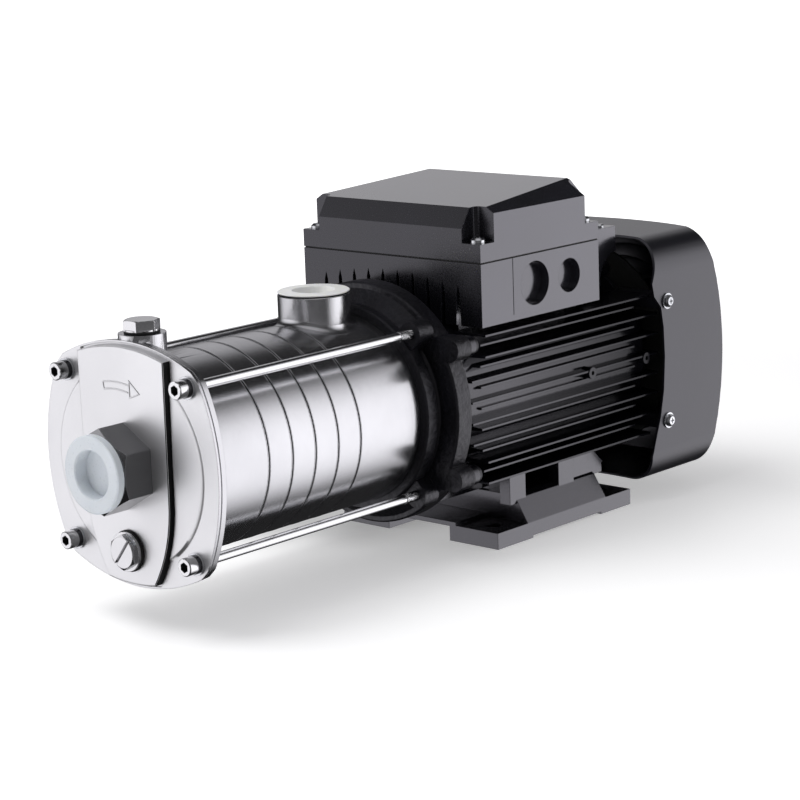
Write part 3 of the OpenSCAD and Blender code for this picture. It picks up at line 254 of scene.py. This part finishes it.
# %% A maker for finishes
def tone_drift(nodes, links, vector, colours, scale, detail=4.0):
    """A noise that drifts between colours, which are (position, colour) pairs."""
    noise = nodes.new("ShaderNodeTexNoise")
    noise.inputs["Scale"].default_value = scale
    noise.inputs["Detail"].default_value = detail
    ramp = nodes.new("ShaderNodeValToRGB")
    ramp.color_ramp.elements[0].position, ramp.color_ramp.elements[0].color = colours[0]
    ramp.color_ramp.elements[1].position, ramp.color_ramp.elements[1].color = colours[-1]
    for position, colour in colours[1:-1]:
        ramp.color_ramp.elements.new(position).color = colour
    links.new(vector, noise.inputs["Vector"])
    links.new(noise.outputs["Fac"], ramp.inputs["Fac"])
    return ramp.outputs["Color"]


def finish(name, dark, light, metal, rough, grain=900, relief=0.02, stretch=(1, 1, 1),
           patch=14, edge=0.0003, coat=0.0, gloss=0.5, tint=(1, 1, 1)):
    """A procedural finish: dark and light are its two tones, rough is (lowest, highest)."""
    material = bpy.data.materials.new(name)
    material.use_nodes = True
    nodes, links = material.node_tree.nodes, material.node_tree.links
    shader = nodes["Principled BSDF"]
    shader.inputs["Metallic"].default_value = metal
    shader.inputs["Specular IOR Level"].default_value = gloss
    shader.inputs["Specular Tint"].default_value = (*tint, 1)
    shader.inputs["Coat Weight"].default_value = coat
    shader.inputs["Coat Roughness"].default_value = rough[0]
    coordinates = nodes.new("ShaderNodeTexCoord")
    mapping = nodes.new("ShaderNodeMapping")
    mapping.inputs["Scale"].default_value = stretch
    links.new(coordinates.outputs["Object"], mapping.inputs["Vector"])
    drift = tone_drift(nodes, links, coordinates.outputs["Object"],
                       [(0.35, (*dark, 1)), (0.65, (*light, 1))], patch)
    links.new(drift, shader.inputs["Base Color"])
    grain_noise = nodes.new("ShaderNodeTexNoise")
    grain_noise.inputs["Scale"].default_value = grain
    grain_noise.inputs["Detail"].default_value = 3
    links.new(mapping.outputs["Vector"], grain_noise.inputs["Vector"])
    spread = nodes.new("ShaderNodeMapRange")
    spread.inputs["From Min"].default_value = 0.3
    spread.inputs["From Max"].default_value = 0.7
    spread.inputs["To Min"].default_value = rough[0]
    spread.inputs["To Max"].default_value = rough[1]
    links.new(grain_noise.outputs["Fac"], spread.inputs["Value"])
    links.new(spread.outputs["Result"], shader.inputs["Roughness"])
    bevel = nodes.new("ShaderNodeBevel")
    bevel.samples = 4
    bevel.inputs["Radius"].default_value = edge
    bump = nodes.new("ShaderNodeBump")
    bump.inputs["Strength"].default_value = relief
    bump.inputs["Distance"].default_value = 0.001
    links.new(grain_noise.outputs["Fac"], bump.inputs["Height"])
    links.new(bevel.outputs["Normal"], bump.inputs["Normal"])
    links.new(bump.outputs["Normal"], shader.inputs["Normal"])
    return material


# %% [markdown]
# ### Metals
# The front casing is cast stainless steel that was blasted to an even satin. The barrel is
# rolled sheet, brushed round the shaft, so its grain is stretched into rings. The hexagon
# fittings are turned and show a tighter, darker grain.

# %% Make the metals
RING_GRAIN = (1, 0.12, 0.12)
finishes = {
    "stainless_cast": finish("stainless_cast_finish", (0.83, 0.83, 0.84), (0.90, 0.90, 0.91), 0.95,
                             (0.34, 0.44), grain=1500, relief=0.05, edge=0.0007),
    "stainless_sheet": finish("stainless_sheet_finish", (0.56, 0.56, 0.575), (0.63, 0.63, 0.645), 1,
                              (0.20, 0.27), grain=2200, relief=0.035, stretch=RING_GRAIN),
    "stainless_dark": finish("stainless_dark_finish", (0.34, 0.34, 0.35), (0.44, 0.44, 0.45), 1,
                             (0.14, 0.22), grain=1200, relief=0.03, edge=0.0004),
    "stainless_polished": finish("stainless_polished_finish", (0.72, 0.72, 0.73),
                                 (0.82, 0.82, 0.83), 1, (0.16, 0.24), grain=1400, relief=0.02,
                                 edge=0.0004),
    # Near black, used only as painted shade: on the band's sides, in the bolt sockets and in the
    # cap's gap.
    "painted_shade_black": finish("painted_shade_black_finish", (0.015, 0.015, 0.016), (0.03, 0.03, 0.031), 0.6,
                           (0.5, 0.6), grain=1500, relief=0.2),
    "zinc_steel": finish("zinc_steel_finish", (0.58, 0.59, 0.61), (0.74, 0.75, 0.77), 1,
                         (0.14, 0.24), grain=1500, relief=0.03),
    "tool_steel": finish("tool_steel_finish", (0.10, 0.10, 0.11), (0.18, 0.18, 0.19), 1,
                         (0.25, 0.40), grain=1500, relief=0.03),
    "laminated_iron": finish("laminated_iron_finish", (0.20, 0.20, 0.21), (0.32, 0.32, 0.33), 1,
                             (0.35, 0.5), grain=2600, relief=0.15, stretch=(1, 0.02, 0.02)),
    "copper": finish("copper_wire_finish", (0.42, 0.16, 0.06), (0.60, 0.25, 0.10), 1,
                     (0.25, 0.4), grain=1800, relief=0.25, stretch=(1, 0.05, 0.05)),
    "brass": finish("brass_finish", (0.62, 0.44, 0.16), (0.76, 0.57, 0.25), 1, (0.22, 0.35)),
}
print("metals:", len(finishes))

# %% [markdown]
# ### Black paint and plastic
# The motor, the box and the foot wear a deep gloss black: nearly no colour of their own, and a
# clear coat that mirrors the soft boxes as lilac grey. The bracket is a casting under thick
# paint, so its relief is coarse. The fan cover is a shade softer. On the tube the coat's shine
# fades away towards the fan, as painted shade that dims the tube's reflections there.

# %% Make the paints and plastics
def black_paint(name, rough, grain, relief, patch, tone=0.008, coat=1.0, shine=1.0, edge=0.0004):
    """Gloss black: a faint blue drift under a clear coat."""
    dark = (tone, tone, tone * 1.25)
    light = (tone * 1.6, tone * 1.6, tone * 2.3)
    return finish(name, dark, light, 0, rough, grain=grain, relief=relief, patch=patch,
                  coat=coat, gloss=shine, edge=edge, tint=(0.90, 0.88, 1.0))


finishes["cast_black"] = black_paint("cast_black_finish", (0.36, 0.52), 300, 1.0, 60, tone=0.003,
                                     coat=0.4, shine=0.4, edge=0.0010)
finishes["motor_black"] = black_paint("motor_black_finish", (0.14, 0.24), 700, 0.05, 30, tone=0.003,
                                      coat=0.45, shine=0.6)
# Painted shade: the tube's coat and specular level fall from 0.55 to 0.06 along X towards the fan.
tube_nodes = finishes["motor_black"].node_tree.nodes
tube_links = finishes["motor_black"].node_tree.links
tube_place = tube_nodes.new("ShaderNodeSeparateXYZ")
tube_links.new(tube_nodes["Texture Coordinate"].outputs["Object"], tube_place.inputs["Vector"])
tube_sheen_painted_shade = tube_nodes.new("ShaderNodeMapRange")
tube_sheen_painted_shade.inputs["From Min"].default_value = -0.06
tube_sheen_painted_shade.inputs["From Max"].default_value = 0.085
tube_sheen_painted_shade.inputs["To Min"].default_value = 0.55
tube_sheen_painted_shade.inputs["To Max"].default_value = 0.06
tube_links.new(tube_place.outputs["X"], tube_sheen_painted_shade.inputs["Value"])
tube_links.new(tube_sheen_painted_shade.outputs["Result"], tube_nodes["Principled BSDF"].inputs["Coat Weight"])
tube_links.new(tube_sheen_painted_shade.outputs["Result"],
               tube_nodes["Principled BSDF"].inputs["Specular IOR Level"])
finishes["foot_black"] = black_paint("foot_black_finish", (0.16, 0.26), 700, 0.05, 30, tone=0.003,
                                     coat=0.8, shine=0.8, edge=0.0006)
finishes["box_black"] = black_paint("box_black_finish", (0.13, 0.20), 1100, 0.03, 25, coat=0.85,
                                    edge=0.0006)
# A darker, duller copy of the box's black for its forward faces: painted shade.
finishes["box_front_painted_shade"] = black_paint("box_front_painted_shade_finish", (0.22, 0.32), 1100, 0.01, 25, coat=0.4,
                                    tone=0.002, shine=0.6, edge=0.0006)
finishes["cover_grey"] = black_paint("cover_grey_finish", (0.30, 0.36), 900, 0.004, 20, tone=0.005,
                                     coat=0.5, shine=0.6)
finishes["engineering_plastic"] = finish("diffuser_plastic_finish", (0.10, 0.10, 0.11),
                                         (0.15, 0.15, 0.16), 0, (0.4, 0.5))
finishes["fan_plastic"] = finish("fan_plastic_finish", (0.010, 0.010, 0.010), (0.018, 0.018, 0.018),
                                 0, (0.4, 0.55), relief=0.08)
finishes["rubber"] = finish("rubber_finish", (0.006, 0.006, 0.006), (0.012, 0.012, 0.012), 0,
                            (0.6, 0.75), grain=1500, relief=0.15)
finishes["ceramic"] = finish("seat_ceramic_finish", (0.70, 0.69, 0.64), (0.78, 0.77, 0.72), 0,
                             (0.12, 0.2), relief=0.01)
finishes["brown_resin"] = finish("brown_resin_finish", (0.15, 0.05, 0.02), (0.22, 0.08, 0.03), 0,
                                 (0.3, 0.45), relief=0.05)
finishes["pale_plastic"] = finish("pale_plastic_finish", (0.68, 0.68, 0.65), (0.76, 0.76, 0.73), 0,
                                  (0.3, 0.4), relief=0.03)
finishes["white_plastic"] = finish("white_plastic_finish", (0.62, 0.66, 0.70), (0.72, 0.75, 0.78),
                                   0, (0.26, 0.36), grain=700, relief=0.05)
finishes["clear_plastic"] = finish("clear_plastic_finish", (0.80, 0.81, 0.80), (0.88, 0.88, 0.87),
                                   0, (0.3, 0.4), grain=700, relief=0.05)
for cap_finish in ("white_plastic", "clear_plastic"):
    cap_shader = finishes[cap_finish].node_tree.nodes["Principled BSDF"]
    cap_shader.inputs["Subsurface Weight"].default_value = 0.3
    cap_shader.inputs["Subsurface Radius"].default_value = (0.004, 0.004, 0.005)
print("finishes:", len(finishes))

# %% [markdown]
# ### Dress the solids
# The record says which material slot each node belongs to, so every solid gets its finish by
# name and none is left with a flat colour. A solid's mesh is left as it is: only its material
# slots are assigned.
#
# Some finishes are told apart within a slot: the plugs and bolts are polished brighter than the
# dark adapter, the foot's paint is glossier than the tube's, the tube's bolts are painted over
# with the bracket, and the upper cap is of a plainer white.

# %% Put the finishes on the nodes
slot_of = {part["node"]: part["material_slot"] for part in frame["record"]["subparts"]}
body_of = {node_name: body for body, members in frame["record"]["behaviour"]["bodies"].items()
           for node_name in members}
OWN_FINISH = {"drain_plug": "stainless_polished", "filling_plug": "stainless_polished",
              "tie_bolts": "stainless_polished", "foot": "foot_black",
              "motor_bolts": "cast_black", "discharge_cap": "clear_plastic"}


def finish_of(node_name):
    """The finish of a solid: its own, or that of its material slot."""
    return finishes[OWN_FINISH.get(node_name, slot_of[node_name])]


for node_name, node in frame["nodes"].items():
    for slot in node.material_slots:
        slot.material = finish_of(node_name)
print("dressed:", len(slot_of))

# %% [markdown]
# ## Soft edges
# Moulded plastic and painted iron never have a razor edge: a millimetre of rounding catches a
# thin line of light, and the eye reads the size of the thing from it. A CAD solid arrives as
# loose triangles, so a copy is first joined, its flat faces are cleared of their inner edges,
# and then only the long sharp edges are bevelled. Short edges round holes and pockets are left,
# because a bevel there would run into its neighbour. The copy then replaces its solid.

# %% Helpers for copies of the solids
FLAT_ANGLE = math.radians(0.6)


def smooth_curves(piece, angle=32):
    """Smooths the curved faces and keeps the flat ones flat."""
    bpy.ops.object.shade_smooth_by_angle(angle=math.radians(angle))
    weighted = piece.modifiers.new("flat_faces_first", "WEIGHTED_NORMAL")
    weighted.keep_sharp = True
    bpy.ops.object.modifier_apply(modifier=weighted.name)


def merged_copy(node_name, name, angle=32):
    """A copy of a solid with its loose triangles joined and its flat faces cleared."""
    piece = bpy.data.objects.new(name, frame["nodes"][node_name].data.copy())
    bpy.context.collection.objects.link(piece)
    bpy.ops.object.select_all(action="DESELECT")
    bpy.context.view_layer.objects.active = piece
    piece.select_set(True)
    bpy.ops.object.mode_set(mode="EDIT")
    bpy.ops.mesh.select_all(action="SELECT")
    bpy.ops.mesh.remove_doubles(threshold=0.00002)
    bpy.ops.mesh.dissolve_limited(angle_limit=FLAT_ANGLE)
    bpy.ops.mesh.select_all(action="DESELECT")
    bpy.ops.object.mode_set(mode="OBJECT")
    smooth_curves(piece, angle)
    return piece


def adopt(piece, node_name, *replaced):
    """Lets a piece ride on a solid's body in that solid's finish, in place of the replaced."""
    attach(piece, body_of[node_name])
    if replaced:
        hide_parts(*replaced)
    piece.data.materials.clear()
    piece.data.materials.append(finish_of(node_name))


def bevel_long_edges(piece, shortest, width, steps, sharp=25, keep=None):
    """Bevels the sharp edges that are longer than shortest and that keep() accepts."""
    bpy.context.view_layer.objects.active = piece
    bpy.ops.object.mode_set(mode="EDIT")
    bpy.ops.mesh.select_mode(type="EDGE")
    bpy.ops.mesh.select_all(action="DESELECT")
    bpy.ops.mesh.edges_select_sharp(sharpness=math.radians(sharp))
    bpy.ops.object.mode_set(mode="OBJECT")
    mesh = piece.data
    for edge in mesh.edges:
        ends = [mesh.vertices[k].co for k in edge.vertices]
        too_short = (ends[0] - ends[1]).length < shortest
        if edge.select and (too_short or (keep and not keep(*ends))):
            edge.select = False
    chosen = sum(edge.select for edge in mesh.edges)
    bpy.ops.object.mode_set(mode="EDIT")
    bpy.ops.mesh.bevel(offset=width, segments=steps, affect="EDGES", clamp_overlap=True)
    bpy.ops.mesh.select_all(action="DESELECT")
    bpy.ops.object.mode_set(mode="OBJECT")
    smooth_curves(piece)
    return chosen


def paint_faces(piece, finish_name, rule):
    """Gives a second finish to the faces whose centre and normal the rule accepts."""
    piece.data.materials.append(finishes[finish_name])
    painted = [face for face in piece.data.polygons if rule(face.center, face.normal)]
    for face in painted:
        face.material_index = len(piece.data.materials) - 1
    return len(painted)


# %% Soften the box and the foot
BOX_MIDDLE = (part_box("terminal_box_lid")[0][0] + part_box("terminal_box_lid")[1][0]) / 2
SOFT_EDGES = {
    "terminal_box_lid": (0.006, 0.0011, 3),
    "terminal_box_base": (0.012, 0.0006, 2),
    "foot": (0.010, 0.0008, 2),
}
for node_name, (shortest, width, steps) in SOFT_EDGES.items():
    soft = merged_copy(node_name, "soft_" + node_name)
    edges = bevel_long_edges(soft, shortest, width, steps)
    adopt(soft, node_name, node_name)
    if node_name.startswith("terminal_box"):
        # The faces of the box and lid that point forward get the darker, duller copy: painted
        # shade.
        paint_faces(soft, "box_front_painted_shade", lambda c, n: n.x < -0.5 and c.x < BOX_MIDDLE)
    print(node_name, "edges rounded:", edges, "faces:", len(soft.data.polygons))

# %% [markdown]
# ## Faces of the casting
# Only the front of the suction casing is blasted. Its rim and its length of barrel are turned to
# the same shine as the shells behind it. The sides of the raised band are painted near black, a
# painted shade for the shadow along them. So one solid needs three finishes, which are given to
# its faces by their place and by the way they look. The sockets of the bolts and the narrow gap
# under the upper cap get the same painted shade. Finishes within a piece need a copy of the
# solid, because face by face painting changes a mesh. The cone behind the flange meets the barrel
# at a shallow angle, and that edge has to stay sharp, or the barrel's shading is drawn towards the
# cone.

# %% Paint the faces of the casing, the bolts and the upper cap
CONE_ANGLE = 14
BAND_REACH = 0.036
PORT_REACH = 0.022
HAIR = 0.0001
flange_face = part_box("tie_bolt_washers")[1][0]
casing = merged_copy("suction_casing", "painted_suction_casing", angle=CONE_ANGLE)
adopt(casing, "suction_casing", "suction_casing")
turned = paint_faces(casing, "stainless_sheet",
                     lambda c, n: abs(n.x) < 0.9 and c.x > flange_face + HAIR)
# The sides of the flange's band get the near-black painted shade.
band_painted_shade = paint_faces(casing, "painted_shade_black",
                   lambda c, n: abs(n.y) > 0.5 and abs(n.x) < 0.3
                   and c.x < flange_face - HAIR and abs(c.y) < BAND_REACH
                   and math.hypot(c.y, c.z - SHAFT_HEIGHT) > PORT_REACH)
print("casing faces turned:", turned, "left dark:", band_painted_shade)

SOCKET_DEPTH = 0.0040
SOCKET_REACH = 0.0032
WASHER_REACH = 0.0062
bolt_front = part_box("tie_bolts")[0][0]
bolts = merged_copy("tie_bolts", "painted_tie_bolts")
adopt(bolts, "tie_bolts", "tie_bolts")
tie_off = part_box("tie_bolt_washers")[1][1] - WASHER_REACH
# The inside of each hex socket gets the near-black painted shade of a recess.
sockets = paint_faces(bolts, "painted_shade_black",
                      lambda c, n: bolt_front + 2 * HAIR < c.x < bolt_front + SOCKET_DEPTH
                      and math.hypot(abs(c.y) - tie_off,
                                     abs(c.z - SHAFT_HEIGHT) - tie_off) < SOCKET_REACH)
print("socket faces:", sockets)

CAP_GAP = 0.0008
upper_cap = merged_copy("discharge_cap", "painted_discharge_cap")
adopt(upper_cap, "discharge_cap", "discharge_cap")
gap_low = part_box("discharge_casing")[1][2]
# The cap's faces in the narrow gap above the stub get the near-black painted shade.
gap_faces = paint_faces(upper_cap, "painted_shade_black",
                        lambda c, n: gap_low - HAIR < c.z < gap_low + CAP_GAP
                        and (n.z < -0.5 or abs(n.z) < 0.3))
print("faces in the gap under the cap:", gap_faces)

# %% Turn the filling plug as it was tightened
PLUG_TURN = math.radians(18)
plug_low, plug_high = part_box("filling_plug")
plug_axis = ((plug_low[0] + plug_high[0]) / 2, 0, 0)
plug = merged_copy("filling_plug", "tightened_filling_plug")
bpy.ops.object.mode_set(mode="EDIT")
bpy.ops.mesh.select_all(action="SELECT")
bpy.ops.transform.rotate(value=-PLUG_TURN, orient_axis="Z", orient_type="GLOBAL",
                         center_override=plug_axis)
bpy.ops.mesh.select_all(action="DESELECT")
bpy.ops.object.mode_set(mode="OBJECT")
adopt(plug, "filling_plug", "filling_plug")
print("filling plug turned by", round(math.degrees(PLUG_TURN)), "degrees")

# %% [markdown]
# ## Fan cover
# The moulded cover is squarer at the back than its solid: the corners are tight, and the rear
# face swells gently like a shallow dish. The copy is reshaped by a rule. Every point is pushed
# out from the shaft by the ratio of the wanted outline to the solid's, and each point of the
# drawn-in rear is moved along the shaft to the shallow dish. Flat sides stay flat, because the
# ratio there is one.

# %% Reshape the fan cover
COVER_HALF = 0.077
SOLID_CORNER = 0.042
REAL_CORNER = 0.022
DISH_START = 0.062
SOLID_ROUND = 0.030
DISH_FALL = 0.0000689
SWELL_START, SWELL_WIDTH = 0.050, 0.024
WALL_BEHIND = 0.0030
RIM_LENGTH = 0.022
RIM_REACH = 0.0765
cover_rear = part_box("fan_cover")[1][0]


def outline_reach(angle, corner):
    """Distance from the shaft to a rounded square outline in the direction of the angle."""
    c, s = abs(math.cos(angle)), abs(math.sin(angle))
    centre = COVER_HALF - corner
    if COVER_HALF * min(c, s) / max(c, s) <= centre:
        return COVER_HALF / max(c, s)
    along = centre * (c + s)
    return along + math.sqrt(along ** 2 - 2 * centre ** 2 + corner ** 2)


def solid_drop(radius):
    """How far the solid's rear lies in front of its end at a radius."""
    reach = min(max(radius - DISH_START, 0), SOLID_ROUND - HAIR)
    return SOLID_ROUND - math.sqrt(SOLID_ROUND ** 2 - reach ** 2)


def dish_drop(radius):
    """How far the real rear lies in front of the cover's end at a radius."""
    reach = max(radius - DISH_START, 0) * 1000
    return DISH_FALL * reach ** 1.5


cover = merged_copy("fan_cover", "moulded_fan_cover")
for vertex in cover.data.vertices:
    x, y, z = vertex.co[0], vertex.co[1], vertex.co[2] - SHAFT_HEIGHT
    radius, angle = math.hypot(y, z), math.atan2(z, y)
    swell = outline_reach(angle, REAL_CORNER) / outline_reach(angle, SOLID_CORNER)
    share = min(max((radius - SWELL_START) / SWELL_WIDTH, 0), 1)
    grown = radius * (1 + (swell - 1) * share)
    if x > cover_rear - solid_drop(radius) - WALL_BEHIND:
        x += solid_drop(radius) - dish_drop(grown)
    vertex.co = (x, grown * math.cos(angle), grown * math.sin(angle) + SHAFT_HEIGHT)
bpy.context.view_layer.objects.active = cover
bpy.ops.object.mode_set(mode="EDIT")
bpy.ops.mesh.select_all(action="SELECT")
bpy.ops.mesh.dissolve_limited(angle_limit=FLAT_ANGLE)
bpy.ops.object.mode_set(mode="OBJECT")
rim = bevel_long_edges(cover, shortest=0.0008, width=0.0035, steps=4, sharp=32,
                       keep=lambda a, b: min(a[0], b[0]) > cover_rear - RIM_LENGTH
                       and min(math.hypot(q[1], q[2] - SHAFT_HEIGHT)
                               for q in (a, b)) > RIM_REACH)
adopt(cover, "fan_cover", "fan_cover")
print("cover rim edges rounded:", rim)

# %% [markdown]
# ## Turned rings
# A ring is drawn as a small closed outline on one side of the shaft and spun all the way round
# it, as a lathe would. The rolled seams of the barrel get a narrow raised lip on each side, and
# the air grille of the fan cover gets sloping rings behind its slots, so that nobody looks
# straight through it.

# %% A helper for turned rings
def spun_ring(name, outline, steps, centre=(0, 0, SHAFT_HEIGHT), axis=(1, 0, 0)):
    """Spins an outline of (along the axis, from the axis) points round the axis."""
    turned_up = axis[2] > 0.5
    points = [(centre[0] + r, centre[1], a) if turned_up else (a, 0, centre[2] + r)
              for a, r in outline]
    mesh = bpy.data.meshes.new(name)
    count = len(points)
    mesh.from_pydata(points, [(k, (k + 1) % count) for k in range(count)], [])
    piece = bpy.data.objects.new(name, mesh)
    bpy.context.collection.objects.link(piece)
    bpy.ops.object.select_all(action="DESELECT")
    bpy.context.view_layer.objects.active = piece
    piece.select_set(True)
    bpy.ops.object.mode_set(mode="EDIT")
    bpy.ops.mesh.select_all(action="SELECT")
    bpy.ops.mesh.spin(steps=steps, angle=2 * math.pi, center=centre, axis=axis)
    bpy.ops.mesh.select_all(action="SELECT")
    bpy.ops.mesh.remove_doubles(threshold=0.00001)
    bpy.ops.mesh.normals_make_consistent(inside=False)
    bpy.ops.mesh.select_all(action="DESELECT")
    bpy.ops.object.mode_set(mode="OBJECT")
    bpy.ops.object.shade_smooth_by_angle(angle=math.radians(50))
    return piece


# %% Roll the lips of the barrel's seams
BARREL_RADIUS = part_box("stage_shell_1")[1][2] - SHAFT_HEIGHT
GASKET = 0.0009
LIP_RADIUS = 0.00045
LIP_OUT = 0.00012
seam_ends = [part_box(name)[1][0] for name in
             ["suction_casing"] + [f"stage_shell_{k}" for k in range(1, 5)]]
for number, seam_end in enumerate(seam_ends, start=1):
    for side, middle in (("front", seam_end - LIP_RADIUS),
                         ("rear", seam_end + GASKET + LIP_RADIUS)):
        bead = [(middle + LIP_RADIUS * math.cos(t), BARREL_RADIUS - LIP_RADIUS + LIP_OUT
                 + LIP_RADIUS * math.sin(t))
                for t in [2 * math.pi * k / 8 for k in range(8)]]
        adopt(spun_ring(f"seam_{number}_{side}_lip", bead, steps=120), "stage_shell_1")
print("seams at", [round(x, 4) for x in seam_ends], "barrel radius", round(BARREL_RADIUS, 4))

# %% Slope rings behind the grille
SLOT_PITCH = 0.0095
SLOT_WIDTH = 0.004
FIRST_SLOT = 0.016
SLOT_COUNT = 5
VANE_SHEET = 0.0008
VANE_INSET = 0.001
VANE_SPREAD = 0.003
VANE_FRONT = cover_rear - 0.0065
VANE_REAR = cover_rear - 0.0030
for number in range(SLOT_COUNT):
    inner = FIRST_SLOT + number * SLOT_PITCH - VANE_INSET
    outer = inner + SLOT_WIDTH + VANE_SPREAD
    vane = [(VANE_FRONT, inner), (VANE_REAR, outer), (VANE_REAR, outer + VANE_SHEET),
            (VANE_FRONT, inner + VANE_SHEET)]
    adopt(spun_ring(f"grille_vane_{number + 1}", vane, steps=72), "fan_cover")
print("vanes behind the grille:", SLOT_COUNT)

# %% [markdown]
# ## Weld at the discharge stub
# The upright stub is welded to the barrel, and the weld runs out in a concave fillet. A lathe
# can't turn it, because its foot follows the round barrel. So the fillet starts as a ring of
# concave outline, and then each of its points is let down by as much as the barrel falls away
# under it.

# %% Run the fillet round the stub
cap_low, cap_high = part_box("discharge_cap")
STUB_X = (cap_low[0] + cap_high[0]) / 2
STUB_RADIUS = (cap_high[0] - cap_low[0]) / 2
FILLET = 0.0036
SINK = 0.0012
OVERLAP = 0.0006
curve = [(FILLET * (1 - math.sin(t)), FILLET * (1 - math.cos(t)))
         for t in [math.pi / 2 * k / 6 for k in range(7)]]
barrel_top = SHAFT_HEIGHT + BARREL_RADIUS
outline = [(barrel_top + up, STUB_RADIUS + out) for up, out in curve]
outline += [(barrel_top - SINK, STUB_RADIUS + FILLET), (barrel_top - SINK, STUB_RADIUS - OVERLAP),
            (barrel_top + FILLET, STUB_RADIUS - OVERLAP)]
weld = spun_ring("discharge_weld", outline, steps=96, centre=(STUB_X, 0, 0), axis=(0, 0, 1))
for vertex in weld.data.vertices:
    vertex.co[2] -= BARREL_RADIUS - math.sqrt(BARREL_RADIUS ** 2 - vertex.co[1] ** 2)
adopt(weld, "discharge_casing")
print("stub at", round(STUB_X, 4), "radius", round(STUB_RADIUS, 4))
